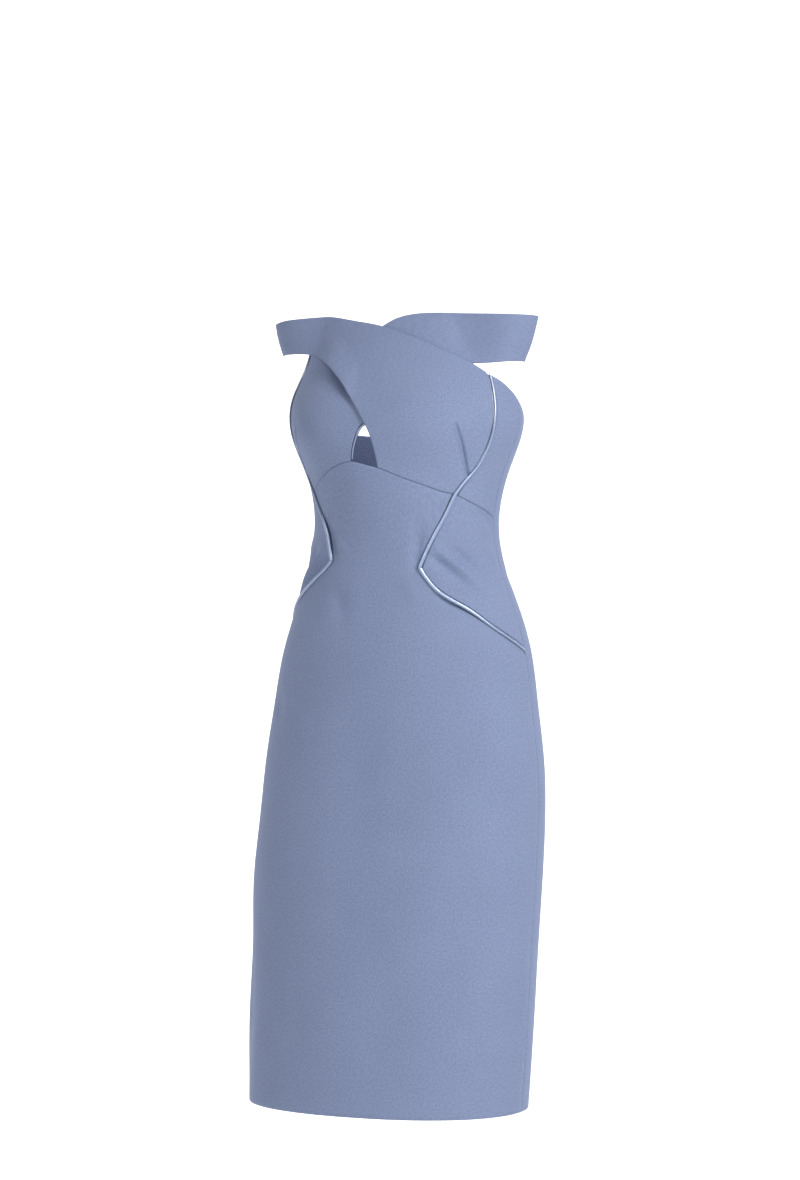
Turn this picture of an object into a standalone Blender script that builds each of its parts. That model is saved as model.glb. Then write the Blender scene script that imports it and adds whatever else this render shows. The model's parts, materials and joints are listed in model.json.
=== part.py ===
"""Strapless knee-length dress with two stiff bands crossed over the bust and a keyhole under them.

Metres, +Z up, the front of the dress faces -Y and the wearer's left side is +X.
Every piece lies on one form. A place on the form is an angle in degrees from the centre front
toward +X and a height above the bust line.
"""
import math

import bmesh
import bpy
import numpy as np
from mathutils import Vector

# Cloth and seams
WALL = 0.0018
SEAM_INSET = 0.00016
HEM_HEIGHT = -0.790
MEAN_RADIUS = 0.12

# Piping
PIPING_SPACING = 0.009
KEYHOLE_PIPING_RADIUS = 0.0013
KEYHOLE_PIPING_SINK = 0.0006
PIPING_CLEARANCE = 0.0005

# How far the outer band stands off the inner one, and how soon it comes down onto the cup
BAND_LIFT = 0.0035
LIFT_FULL_BELOW_EDGE = 0.006
LIFT_NONE_BELOW_EDGE = 0.065
LIFT_FULL_ANGLE = 62.0
LIFT_NONE_ANGLE = 75.0
# The stiff outer band also stands off the other cup along its inner edge
EDGE_STANDOFF = 0.0045
STANDOFF_REACH = 0.035
STANDOFF_SPAN = (4.0, 20.0, 38.0, 60.0)
# The inner band's cup falls away under the outer band's edge, down towards the keyhole
VALLEY_DEPTH = 0.0065
VALLEY_HALF_WIDTH = 0.0100
VALLEY_ABOVE_EDGE = 0.0060
VALLEY_SPAN = (3.0, 20.0, 30.0, 56.0)

# Bust cups: a soft rise on each side of the front
CUP_ANGLE = 36.0
CUP_HALF_ANGLE = 22.0
CUP_HEIGHT = -0.004
CUP_HALF_HEIGHT = 0.045
CUP_DEPTH = 0.012

# Zip at the centre back: the slider stands on the seam, the pull hangs from its pin
PIN_HEIGHT = -0.0235
PIN_STANDOFF = 0.0037
PIN_RADIUS = 0.0005
SLIDER_SIZE = (0.0050, 0.0016, 0.0090)
SLIDER_STANDOFF = 0.0012
SLIDER_BEVEL = 0.0005
LUG_SIZE = (0.0009, 0.0030, 0.0022)
LUG_SPACING = 0.0040
PULL_WIDTH = 0.0024
PULL_LENGTH = 0.0190
PULL_THICKNESS = 0.0008
PULL_EYE_RADIUS = 0.0008
PULL_KNUCKLE_RADIUS = 0.0014
EYE_SEGMENTS = 16

# Steps of the cloth grids; pieces that meet at a seam share its steps
CUP_STEPS = 8
KEYHOLE_STEPS = 2
SIDE_STEPS = 10
HIP_STEPS = 8
BODICE_STEPS = 11
SKIRT_STEPS = 15
BAND_STEPS = 17
BACK_STEPS = 9

# Level sections of the form:
# height, half_width, front_depth, back_depth, front_roundness, centre_x, centre_y
SECTIONS = [
    (-0.800, 0.1685, 0.119, 0.120, 2.20, -0.012, -0.022),
    (-0.680, 0.1730, 0.119, 0.122, 2.20, -0.010, -0.017),
    (-0.600, 0.1735, 0.118, 0.123, 2.20, -0.007, -0.014),
    (-0.530, 0.1755, 0.118, 0.124, 2.20, -0.005, -0.012),
    (-0.460, 0.1740, 0.113, 0.123, 2.20, -0.002, -0.007),
    (-0.390, 0.1700, 0.108, 0.119, 2.20, 0.000, -0.004),
    (-0.320, 0.1605, 0.103, 0.113, 2.20, 0.001, -0.002),
    (-0.260, 0.1505, 0.100, 0.106, 2.20, 0.003, -0.002),
    (-0.215, 0.1370, 0.096, 0.096, 2.20, 0.003, 0.000),
    (-0.167, 0.1205, 0.093, 0.087, 2.20, 0.002, 0.000),
    (-0.122, 0.1105, 0.099, 0.083, 2.10, 0.003, 0.000),
    (-0.085, 0.1127, 0.110, 0.083, 1.95, 0.0038, 0.000),
    (-0.045, 0.1252, 0.117, 0.089, 1.85, 0.0023, 0.002),
    (0.000, 0.1430, 0.118, 0.093, 1.80, 0.000, 0.003),
    (0.035, 0.1416, 0.106, 0.094, 1.85, -0.0016, 0.006),
    (0.065, 0.1305, 0.088, 0.094, 2.00, -0.0005, 0.010),
    (0.090, 0.1230, 0.072, 0.094, 2.10, 0.000, 0.008),
    (0.140, 0.1180, 0.050, 0.090, 2.20, 0.000, 0.002),
]
BACK_ROUNDNESS = 2.15

# Level sections of the band ends, which stand out beyond the arms:
# height, half_width, front_depth, roundness, centre_y
END_SECTIONS = [
    (0.050, 0.1450, 0.096, 1.95, 0.008),
    (0.070, 0.1475, 0.085, 2.05, 0.009),
    (0.090, 0.1560, 0.072, 2.10, 0.008),
    (0.140, 0.1720, 0.050, 2.20, 0.002),
]
END_STARTS = 60.0
END_WHOLE = 78.0

# Under-bust seam, a little higher on the -X side of the keyhole: angle, height
UNDER_BUST_SEAM = [
    (-90.0, -0.1060),
    (-76.5, -0.0965),
    (-63.0, -0.0870),
    (-51.0, -0.0755),
    (-46.0, -0.0710),
    (-34.0, -0.0600),
    (-23.0, -0.0500),
    (-15.0, -0.0445),
    (-7.5, -0.0430),
    (0.0, -0.0465),
    (7.5, -0.0505),
    (17.8, -0.0590),
    (31.5, -0.0690),
    (46.0, -0.0780),
    (53.5, -0.0810),
    (63.0, -0.0875),
    (76.5, -0.0965),
    (90.0, -0.1060),
]
KEYHOLE_ANGLE = 7.5
SEAM_CROSSING_ANGLE_LEFT = 53.5
SEAM_CROSSING_ANGLE_RIGHT = 51.0
SIDE_ANGLE = 90.0

# Piping from the waist corner up over the under-bust seam to the top edge: angle, height.
# Left is the wearer's left, the +X side; the -X side is written as if it were on the +X side.
PIPING_UPPER_LEFT = [
    (33.3, -0.1645),
    (38.3, -0.1420),
    (43.6, -0.1210),
    (49.0, -0.1010),
    (53.5, -0.0810),
    (59.5, -0.0645),
    (65.5, -0.0500),
    (69.0, -0.0350),
    (71.2, -0.0150),
    (72.6, 0.0100),
    (73.3, 0.0350),
    (72.8, 0.0590),
]
SEAM_CROSSING_ROW_LEFT = 4
PIPING_UPPER_RIGHT = [
    (33.9, -0.1567),
    (35.9, -0.1405),
    (37.9, -0.1240),
    (41.4, -0.1070),
    (46.2, -0.0915),
    (51.0, -0.0755),
    (55.3, -0.0610),
    (57.8, -0.0450),
    (59.0, -0.0300),
    (60.8, -0.0130),
    (64.3, 0.0070),
    (68.0, 0.0270),
    (70.8, 0.0480),
    (72.2, 0.0670),
    (72.8, 0.0885),
]
SEAM_CROSSING_ROW_RIGHT = 5
# Piping from the waist corner out to the side seam: angle, height
PIPING_HIP_LEFT = [
    (33.3, -0.1645),
    (43.0, -0.1900),
    (51.0, -0.2020),
    (59.6, -0.2135),
    (68.8, -0.2300),
    (79.2, -0.2460),
    (90.0, -0.2600),
]
PIPING_HIP_RIGHT = [
    (33.9, -0.1567),
    (40.4, -0.1668),
    (47.3, -0.1754),
    (54.6, -0.1847),
    (62.4, -0.1945),
    (70.0, -0.2050),
    (79.0, -0.2195),
    (90.0, -0.2390),
]
# Radius of the piping cord down its length: height, radius
PIPING_RADII = [
    (-0.262, 0.0019),
    (-0.235, 0.0021),
    (-0.200, 0.0025),
    (-0.165, 0.0027),
    (-0.125, 0.0026),
    (-0.085, 0.0023),
    (-0.045, 0.0020),
    (0.090, 0.0019),
]
# Top edge of the bodice side, from the piping round to the centre back: angle, height
SIDE_TOP_EDGE = [
    (72.8, 0.0590),
    (80.6, 0.0500),
    (88.1, 0.0369),
    (96.3, 0.0200),
    (104.0, 0.0070),
    (116.0, -0.0010),
    (140.0, -0.0060),
    (180.0, -0.0100),
]
# The -X side's piping and cup reach this much higher, up to the band that crosses them
RIGHT_CORNER_RISE = 0.0295
# Outer band, from its cup on the +X side over to its free end on the -X side: angle, height
FRONT_INNER_EDGE = [
    (7.5, -0.0505),
    (7.3, -0.0416),
    (6.4, -0.0279),
    (4.3, -0.0107),
    (0.2, 0.0044),
    (-5.8, 0.0210),
    (-16.1, 0.0406),
    (-27.9, 0.0555),
    (-41.9, 0.0695),
    (-53.0, 0.0785),
    (-62.0, 0.0845),
    (-71.0, 0.0880),
    (-84.0, 0.0890),
]
MIDDLE_ROW = 4
FRONT_TOP_EDGE = [
    (72.8, 0.0590),
    (67.7, 0.0650),
    (61.0, 0.0735),
    (52.0, 0.0830),
    (39.4, 0.0955),
    (15.6, 0.1086),
    (-9.1, 0.1171),
    (-35.2, 0.1229),
    (-52.6, 0.1279),
    (-64.3, 0.1305),
    (-72.0, 0.1300),
    (-78.5, 0.1284),
    (-83.0, 0.1260),
]
# Inner band, from its cup over to its free end, written as if its cup were on the +X side
REAR_INNER_EDGE = [
    (7.5, -0.0430),
    (7.0, -0.0365),
    (5.6, -0.0252),
    (3.5, -0.0138),
    (1.2, -0.0048),
    (-2.2, 0.0008),
    (-10.0, 0.0110),
    (-22.0, 0.0300),
    (-35.0, 0.0500),
    (-50.0, 0.0655),
    (-60.0, 0.0705),
    (-70.0, 0.0712),
    (-79.0, 0.0732),
    (-90.5, 0.0740),
]
APEX_ROW = 5
REAR_TOP_EDGE = [
    (72.8, 0.0885),
    (64.0, 0.0895),
    (50.0, 0.0930),
    (30.0, 0.1020),
    (6.6, 0.1150),
    (-5.3, 0.1220),
    (-17.6, 0.1268),
    (-33.1, 0.1298),
    (-52.9, 0.1307),
    (-66.2, 0.1294),
    (-78.1, 0.1275),
    (-90.5, 0.1262),
]
BAND_CORNER = 0.40
SKIRT_SHARE = 0.62
WAIST_SHARE = 0.80
KEYHOLE_PIPING_SHARE = 0.25

# Colours, linear
CREPE_COLOUR = (0.205, 0.250, 0.390)
SATIN_COLOUR = (0.230, 0.280, 0.420)
METAL_COLOUR = (0.420, 0.450, 0.540)


# Smooth curves through short tables

def natural_spline(places, values):
    """A smooth function through values at rising places."""
    places = np.array(places, float)
    values = np.array(values, float)
    count = len(places)
    spans = np.diff(places)
    matrix = np.eye(count)
    right_side = np.zeros(count)
    for i in range(1, count - 1):
        matrix[i, i - 1] = spans[i - 1]
        matrix[i, i] = 2.0 * (spans[i - 1] + spans[i])
        matrix[i, i + 1] = spans[i]
        rise = (values[i + 1] - values[i]) / spans[i] - (values[i] - values[i - 1]) / spans[i - 1]
        right_side[i] = 6.0 * rise
    bends = np.linalg.solve(matrix, right_side)

    def at(place):
        place = min(max(place, places[0]), places[-1])
        i = min(max(int(np.searchsorted(places, place)) - 1, 0), count - 2)
        before = places[i + 1] - place
        after = place - places[i]
        span = spans[i]
        value = (bends[i] * before ** 3 + bends[i + 1] * after ** 3) / (6.0 * span)
        value += (values[i] / span - bends[i] * span / 6.0) * before
        value += (values[i + 1] / span - bends[i + 1] * span / 6.0) * after
        return float(value)

    return at


def table_lengths(table):
    """Length along a table of angle and height pairs, up to each row."""
    lengths = [0.0]
    for (angle_a, height_a), (angle_b, height_b) in zip(table, table[1:]):
        across = math.radians(angle_b - angle_a) * MEAN_RADIUS
        lengths.append(lengths[-1] + math.hypot(across, height_b - height_a))
    return lengths


def chart_curve(table, first_row=0, last_row=None):
    """A smooth curve through a table's rows; 0 to 1 runs from the first row to the last one named."""
    lengths = table_lengths(table)
    angle_at = natural_spline(lengths, [row[0] for row in table])
    height_at = natural_spline(lengths, [row[1] for row in table])
    start = lengths[first_row]
    end = lengths[-1 if last_row is None else last_row]

    def place(part):
        length = start + (end - start) * part
        return angle_at(length), height_at(length)

    return place


def column_spline(table, index):
    return natural_spline([row[0] for row in table], [row[index] for row in table])


half_width_at = column_spline(SECTIONS, 1)
front_depth_at = column_spline(SECTIONS, 2)
back_depth_at = column_spline(SECTIONS, 3)
roundness_at = column_spline(SECTIONS, 4)
centre_x_at = column_spline(SECTIONS, 5)
centre_y_at = column_spline(SECTIONS, 6)
end_half_width_at = column_spline(END_SECTIONS, 1)
end_depth_at = column_spline(END_SECTIONS, 2)
end_roundness_at = column_spline(END_SECTIONS, 3)
end_centre_y_at = column_spline(END_SECTIONS, 4)
under_bust_height = column_spline(UNDER_BUST_SEAM, 1)
piping_radius_at = column_spline(PIPING_RADII, 1)
back_top_height = column_spline(SIDE_TOP_EDGE, 1)
rear_edge_height = natural_spline([-row[0] for row in REAR_INNER_EDGE[APEX_ROW:]],
                                  [row[1] for row in REAR_INNER_EDGE[APEX_ROW:]])
front_edge_height = natural_spline([-row[0] for row in FRONT_INNER_EDGE[MIDDLE_ROW:]],
                                   [row[1] for row in FRONT_INNER_EDGE[MIDDLE_ROW:]])


# The form that all the cloth lies on

def smooth_step(value):
    value = min(max(value, 0.0), 1.0)
    return value * value * (3.0 - 2.0 * value)


def rounded_radius(across, ahead, half_width, depth, power):
    return ((abs(across) / half_width) ** power + (abs(ahead) / depth) ** power) ** (-1.0 / power)


def form_point(angle, height, end_side=0.0):
    """A point of the body form; a band's own end side stands out beyond the arm."""
    across = math.sin(math.radians(angle))
    ahead = math.cos(math.radians(angle))
    depth = front_depth_at(height) if ahead > 0.0 else back_depth_at(height)
    power = roundness_at(height) if ahead > 0.0 else BACK_ROUNDNESS
    radius = rounded_radius(across, ahead, half_width_at(height), depth, power)
    beside = (abs(angle) - CUP_ANGLE) / CUP_HALF_ANGLE
    above = (height - CUP_HEIGHT) / CUP_HALF_HEIGHT
    radius += CUP_DEPTH * math.exp(-beside * beside - above * above)
    body = Vector((centre_x_at(height) + radius * across, centre_y_at(height) - radius * ahead, height))
    share = smooth_step((angle * end_side - END_STARTS) / (END_WHOLE - END_STARTS))
    if share == 0.0:
        return body
    end_radius = rounded_radius(across, ahead, end_half_width_at(height), end_depth_at(height),
                                end_roundness_at(height))
    end = Vector((end_radius * across, end_centre_y_at(height) - end_radius * ahead, height))
    return body.lerp(end, share)


def form_normal(angle, height, end_side=0.0):
    across = form_point(angle + 0.4, height, end_side) - form_point(angle - 0.4, height, end_side)
    upward = form_point(angle, height + 0.0008, end_side) - form_point(angle, height - 0.0008, end_side)
    return across.cross(upward).normalized()


def share_along(angle, span):
    """Rises from 0 to 1 and falls back to 0 over the four angles of a span."""
    starts, whole, fades, ends = span
    return smooth_step((angle - starts) / (whole - starts)) * smooth_step((ends - angle) / (ends - fades))


def valley_of_inner_band(angle, height):
    """How far the inner band's cup falls away under the outer band's inner edge."""
    beside = (height - front_edge_height(-angle) - VALLEY_ABOVE_EDGE) / VALLEY_HALF_WIDTH
    return VALLEY_DEPTH * share_along(-angle, VALLEY_SPAN) * math.exp(-beside * beside)


def lift_of_outer_band(angle, height):
    """The outer band lies on the inner one, and comes down onto the form below its edge and beside it."""
    below = rear_edge_height(angle) - height
    ramp = (LIFT_NONE_BELOW_EDGE - below) / (LIFT_NONE_BELOW_EDGE - LIFT_FULL_BELOW_EDGE)
    beside = (LIFT_NONE_ANGLE - angle) / (LIFT_NONE_ANGLE - LIFT_FULL_ANGLE)
    along = share_along(-angle, STANDOFF_SPAN)
    above = (height - front_edge_height(-angle)) / STANDOFF_REACH
    standoff = EDGE_STANDOFF * along * smooth_step(1.0 - above)
    return BAND_LIFT * smooth_step(ramp) * smooth_step(beside) + standoff


def on_body(angle, height, depth):
    return form_point(angle, height) - form_normal(angle, height) * depth


def on_inner_band(angle, height, depth):
    fall = valley_of_inner_band(angle, height) + depth
    return form_point(angle, height, 1.0) - form_normal(angle, height, 1.0) * fall


def on_outer_band(angle, height, depth):
    rise = lift_of_outer_band(angle, height) - depth
    return form_point(angle, height, -1.0) + form_normal(angle, height, -1.0) * rise


# Charts of the pieces: four edges and what lies between them

def edge_patch(bottom, top, left, right):
    """Blend four edge curves into one piece; across and up run from 0 to 1."""
    corners = (Vector(bottom(0.0)), Vector(bottom(1.0)), Vector(top(0.0)), Vector(top(1.0)))

    def place(across, up):
        between_ends = Vector(bottom(across)) * (1.0 - up) + Vector(top(across)) * up
        between_sides = Vector(left(up)) * (1.0 - across) + Vector(right(up)) * across
        low = corners[0] * (1.0 - across) + corners[1] * across
        high = corners[2] * (1.0 - across) + corners[3] * across
        blended = between_ends + between_sides - low * (1.0 - up) - high * up
        return blended.x, blended.y

    return place


def joined(pieces):
    """One edge made of several curves; each row is the share at its end and the curve."""
    def place(part):
        start = 0.0
        for end, curve in pieces:
            if part <= end + 1e-9:
                return curve(min((part - start) / (end - start), 1.0))
            start = end
        return pieces[-1][1](1.0)

    return place


def reversed_curve(curve):
    return lambda part: curve(1.0 - part)


def mirrored_chart(chart):
    def place(across, up):
        angle, height = chart(across, up)
        return -angle, height

    return place


def mirrored_curve(curve):
    return lambda part: (-curve(part)[0], curve(part)[1])


def straight_edge(start, end):
    return lambda part: (start[0] + (end[0] - start[0]) * part, start[1] + (end[1] - start[1]) * part)


def under_bust_edge(first_angle, last_angle, side):
    """The under-bust seam between two angles; a side of -1 reads it from the -X side."""
    def place(part):
        angle = first_angle + (last_angle - first_angle) * part
        return angle, under_bust_height(angle * side)

    return place


def side_top_edge(corner_rise):
    """Top edge of the bodice side, from the piping to the side seam."""
    first_angle = SIDE_TOP_EDGE[0][0]

    def place(part):
        angle = first_angle + (SIDE_ANGLE - first_angle) * part
        return angle, back_top_height(angle) + corner_rise * (1.0 - part) ** 2

    return place


def side_lines(upper_table, crossing_row, hip_table, crossing_angle, corner_rise, side):
    """One side's seam lines, written as if on the +X side: the piping's three parts and what lies beside."""
    return {
        "side": side,
        "top": chart_curve(upper_table, crossing_row),
        "waist": chart_curve(upper_table, 0, crossing_row),
        "hip": chart_curve(hip_table),
        "hip_end": hip_table[-1],
        "under_bust": under_bust_edge(crossing_angle, SIDE_ANGLE, side),
        "under_cup": under_bust_edge(KEYHOLE_ANGLE, crossing_angle, side),
        "top_edge": side_top_edge(corner_rise),
    }


LEFT = side_lines(PIPING_UPPER_LEFT, SEAM_CROSSING_ROW_LEFT, PIPING_HIP_LEFT, SEAM_CROSSING_ANGLE_LEFT,
                  0.0, 1.0)
RIGHT = side_lines(PIPING_UPPER_RIGHT, SEAM_CROSSING_ROW_RIGHT, PIPING_HIP_RIGHT, SEAM_CROSSING_ANGLE_RIGHT,
                   RIGHT_CORNER_RISE, -1.0)


def even_steps(start, end, count):
    return [start + (end - start) * i / count for i in range(1, count + 1)]


# Modelling tools

def clear_scene():
    for old_object in list(bpy.data.objects):
        bpy.data.objects.remove(old_object, do_unlink=True)
    for old_collection in list(bpy.data.collections):
        bpy.data.collections.remove(old_collection)


def surface_material(name, colour, roughness, metallic=0.0, sheen=0.0):
    material = bpy.data.materials.new(name)
    material.use_nodes = True
    shader = material.node_tree.nodes["Principled BSDF"]
    shader.inputs["Base Color"].default_value = (*colour, 1.0)
    shader.inputs["Roughness"].default_value = roughness
    shader.inputs["Metallic"].default_value = metallic
    shader.inputs["Sheen Weight"].default_value = sheen
    material.diffuse_color = (*colour, 1.0)
    return material


def finish_object(name, mesh_or_curve, collection, material):
    made = bpy.data.objects.new(name, mesh_or_curve)
    collection.objects.link(made)
    made.data.materials.append(material)
    return made


def cloth_piece(name, chart, surface, shares_across, shares_up, insets, collection, material):
    """A wall of cloth: a grid laid on its surface, thickened inwards, with its seam edges drawn in.

    insets gives how far the left, right, bottom and top edges are drawn in.
    """
    columns = len(shares_across) - 1
    rows = len(shares_up) - 1
    step = 1e-4

    def at(across, up, depth=0.0):
        return surface(*chart(across, up), depth)

    def seam_shift(across, up, side_inset, end_inset):
        """How far to move along the grid so that the edges are drawn in by their insets."""
        across = min(max(across, step), 1.0 - step)
        shift_across = 0.0
        shift_up = 0.0
        along = (at(across + step, up) - at(across - step, up)) / (2.0 * step)
        for lean in (-step, step):
            next_up = min(max(up + lean, 0.0), 1.0)
            if next_up == up:
                continue
            upward = (at(across, next_up) - at(across, up)) / (next_up - up)
            area = along.cross(upward).length
            shift_across = max(shift_across, side_inset * upward.length / area)
            shift_up = max(shift_up, end_inset * along.length / area)
        return shift_across, shift_up

    left_inset, right_inset, bottom_inset, top_inset = insets
    sheet = bmesh.new()
    bmesh.ops.create_grid(sheet, x_segments=columns, y_segments=rows, size=0.5)
    raised = bmesh.ops.extrude_face_region(sheet, geom=sheet.faces[:])
    inner = {item for item in raised["geom"] if isinstance(item, bmesh.types.BMVert)}
    for vertex in sheet.verts:
        column = round((vertex.co.x + 0.5) * columns)
        row = round((vertex.co.y + 0.5) * rows)
        across = shares_across[column]
        up = shares_up[row]
        side_inset = left_inset(up) if column == 0 else right_inset(up) if column == columns else 0.0
        end_inset = bottom_inset(across) if row == 0 else top_inset(across) if row == rows else 0.0
        if side_inset or end_inset:
            shift_across, shift_up = seam_shift(across, up, side_inset, end_inset)
            across += shift_across if column == 0 else -shift_across
            up += shift_up if row == 0 else -shift_up
        vertex.co = at(across, up, WALL if vertex in inner else 0.0)
    bmesh.ops.recalc_face_normals(sheet, faces=sheet.faces[:])
    if sheet.calc_volume(signed=True) < 0.0:
        bmesh.ops.reverse_faces(sheet, faces=sheet.faces[:])
    mesh = bpy.data.meshes.new(name)
    sheet.to_mesh(mesh)
    sheet.free()
    mesh.shade_smooth()
    return finish_object(name, mesh, collection, material)


def piping_tube(name, path, radii, sink, collection, material):
    """A round cord, half sunk in its seam, along angle and height pairs that each have their radius."""
    curve = bpy.data.curves.new(name, "CURVE")
    curve.dimensions = "3D"
    curve.bevel_depth = max(radii)
    curve.bevel_resolution = 2
    curve.use_fill_caps = True
    spline = curve.splines.new("POLY")
    spline.points.add(len(path) - 1)
    for point, (angle, height), radius in zip(spline.points, path, radii):
        place = form_point(angle, height) - form_normal(angle, height) * sink
        point.co = (*place, 1.0)
        point.radius = radius / max(radii)
    return finish_object(name, curve, collection, material)


def box_mesh(name, size, place, bevel):
    """A box of a size about a place, with its edges bevelled."""
    solid = bmesh.new()
    bmesh.ops.create_cube(solid, size=1.0)
    bmesh.ops.scale(solid, vec=size, verts=solid.verts)
    if bevel:
        bmesh.ops.bevel(solid, geom=solid.edges[:], offset=bevel, segments=2, profile=0.5, affect="EDGES")
    bmesh.ops.translate(solid, vec=place, verts=solid.verts)
    mesh = bpy.data.meshes.new(name)
    solid.to_mesh(mesh)
    solid.free()
    return mesh


def rod_mesh(name, radius, length, place):
    """A round rod along X about a place."""
    solid = bmesh.new()
    bmesh.ops.create_cone(solid, cap_ends=True, segments=EYE_SEGMENTS, radius1=radius, radius2=radius,
                          depth=length)
    for vertex in solid.verts:
        vertex.co = Vector((vertex.co.z, vertex.co.y, -vertex.co.x)) + place
    mesh = bpy.data.meshes.new(name)
    solid.to_mesh(mesh)
    solid.free()
    return mesh


def add_to(target, addition):
    """Join a helper solid to a piece."""
    join = target.modifiers.new("join " + addition.name, "BOOLEAN")
    join.operation = "UNION"
    join.solver = "EXACT"
    join.object = addition


def cut_from(target, cutter):
    """Cut a helper solid out of a piece."""
    cut = target.modifiers.new("cut " + cutter.name, "BOOLEAN")
    cut.operation = "DIFFERENCE"
    cut.solver = "EXACT"
    cut.object = cutter


def helper(name, mesh, collection):
    made = bpy.data.objects.new(name, mesh)
    collection.objects.link(made)
    made.hide_render = True
    made.display_type = "WIRE"
    return made


# Cloth pieces

def free_edge(part):
    return 0.0


def seam_edge(part):
    return SEAM_INSET


def beside_piping(curve):
    """How far a cloth edge is drawn in along the piping that runs on its curve."""
    return lambda part: piping_radius_at(curve(part)[1]) + PIPING_CLEARANCE


def keyhole_edge(part):
    """The inner band gives way to its piping as far as that runs."""
    return KEYHOLE_PIPING_RADIUS + PIPING_CLEARANCE if part < KEYHOLE_PIPING_SHARE + 0.04 else 0.0


def panel_side(lines):
    """A side edge of the front panel: hem to hip, piping to the waist corner, up to the under-bust seam."""
    hem_to_hip = straight_edge((SIDE_ANGLE, HEM_HEIGHT), lines["hip_end"])
    hip = reversed_curve(lines["hip"])
    return joined([(SKIRT_SHARE, hem_to_hip), (WAIST_SHARE, hip), (1.0, lines["waist"])])


def front_panel(collection, material):
    """Middle front: a narrow tongue at the waist, widening under the piping to both side seams."""
    right_edge = panel_side(RIGHT)
    left_edge = panel_side(LEFT)
    first_top = -SEAM_CROSSING_ANGLE_RIGHT
    top_span = SEAM_CROSSING_ANGLE_LEFT - first_top

    def chart(across, up):
        right_angle, right_height = right_edge(up)
        left_angle, left_height = left_edge(up)
        last_top = SEAM_CROSSING_ANGLE_LEFT
        level = under_bust_height(first_top) * (1.0 - across) + under_bust_height(last_top) * across
        rise = under_bust_height(first_top + top_span * across) - level
        above_waist = max(up - WAIST_SHARE, 0.0) / (1.0 - WAIST_SHARE)
        angle = (left_angle + right_angle) * across - right_angle
        return angle, right_height * (1.0 - across) + left_height * across + rise * above_waist ** 2

    keyhole_starts = (-KEYHOLE_ANGLE - first_top) / top_span
    keyhole_ends = (KEYHOLE_ANGLE - first_top) / top_span
    across = [0.0] + even_steps(0.0, keyhole_starts, CUP_STEPS)
    across += even_steps(keyhole_starts, keyhole_ends, KEYHOLE_STEPS)
    across += even_steps(keyhole_ends, 1.0, CUP_STEPS)
    up = [0.0] + even_steps(0.0, SKIRT_SHARE, SKIRT_STEPS)
    up += even_steps(SKIRT_SHARE, WAIST_SHARE, SIDE_STEPS)
    up += even_steps(WAIST_SHARE, 1.0, HIP_STEPS)

    def side_inset(part):
        return SEAM_INSET if part < SKIRT_SHARE - 1e-6 else beside_piping(left_edge)(part)

    insets = (side_inset, side_inset, free_edge, seam_edge)
    cloth_piece("front_panel", chart, on_body, across, up, insets, collection, material)


def on_its_side(chart, lines):
    return mirrored_chart(chart) if lines["side"] < 0.0 else chart


def side_hip(name, lines, collection, material):
    """Waist and hip side, between the under-bust seam, the piping and the side seam."""
    right = straight_edge(lines["hip_end"], (SIDE_ANGLE, UNDER_BUST_SEAM[-1][1]))
    chart = edge_patch(lines["hip"], lines["under_bust"], lines["waist"], right)
    across = [0.0] + even_steps(0.0, 1.0, SIDE_STEPS)
    up = [0.0] + even_steps(0.0, 1.0, HIP_STEPS)
    insets = (beside_piping(lines["waist"]), seam_edge, beside_piping(lines["hip"]), seam_edge)
    cloth_piece(name, on_its_side(chart, lines), on_body, across, up, insets, collection, material)


def side_bodice(name, lines, collection, material):
    """Bodice side above the under-bust seam, with a top edge that drops to the underarm."""
    right = straight_edge((SIDE_ANGLE, UNDER_BUST_SEAM[-1][1]), (SIDE_ANGLE, back_top_height(SIDE_ANGLE)))
    chart = edge_patch(lines["under_bust"], lines["top_edge"], lines["top"], right)
    across = [0.0] + even_steps(0.0, 1.0, SIDE_STEPS)
    up = [0.0] + even_steps(0.0, 1.0, BODICE_STEPS)
    insets = (beside_piping(lines["top"]), seam_edge, seam_edge, free_edge)
    cloth_piece(name, on_its_side(chart, lines), on_body, across, up, insets, collection, material)


def back_half(name, lines, collection, material):
    """Back from the top edge to the hem, between the side seam and the centre back seam."""
    side_top = back_top_height(SIDE_ANGLE)
    whole = side_top - HEM_HEIGHT

    def top(part):
        angle = SIDE_ANGLE + (180.0 - SIDE_ANGLE) * part
        return angle, back_top_height(angle)

    bottom = straight_edge((SIDE_ANGLE, HEM_HEIGHT), (180.0, HEM_HEIGHT))
    left = straight_edge((SIDE_ANGLE, HEM_HEIGHT), (SIDE_ANGLE, side_top))
    right = straight_edge((180.0, HEM_HEIGHT), (180.0, SIDE_TOP_EDGE[-1][1]))
    chart = edge_patch(bottom, top, left, right)
    across = [0.0] + even_steps(0.0, 1.0, BACK_STEPS)
    hip_share = (lines["hip_end"][1] - HEM_HEIGHT) / whole
    bust_share = (UNDER_BUST_SEAM[-1][1] - HEM_HEIGHT) / whole
    up = [0.0] + even_steps(0.0, hip_share, SKIRT_STEPS)
    up += even_steps(hip_share, bust_share, HIP_STEPS)
    up += even_steps(bust_share, 1.0, BODICE_STEPS)
    insets = (seam_edge, seam_edge, free_edge, free_edge)
    cloth_piece(name, on_its_side(chart, lines), on_body, across, up, insets, collection, material)


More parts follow.
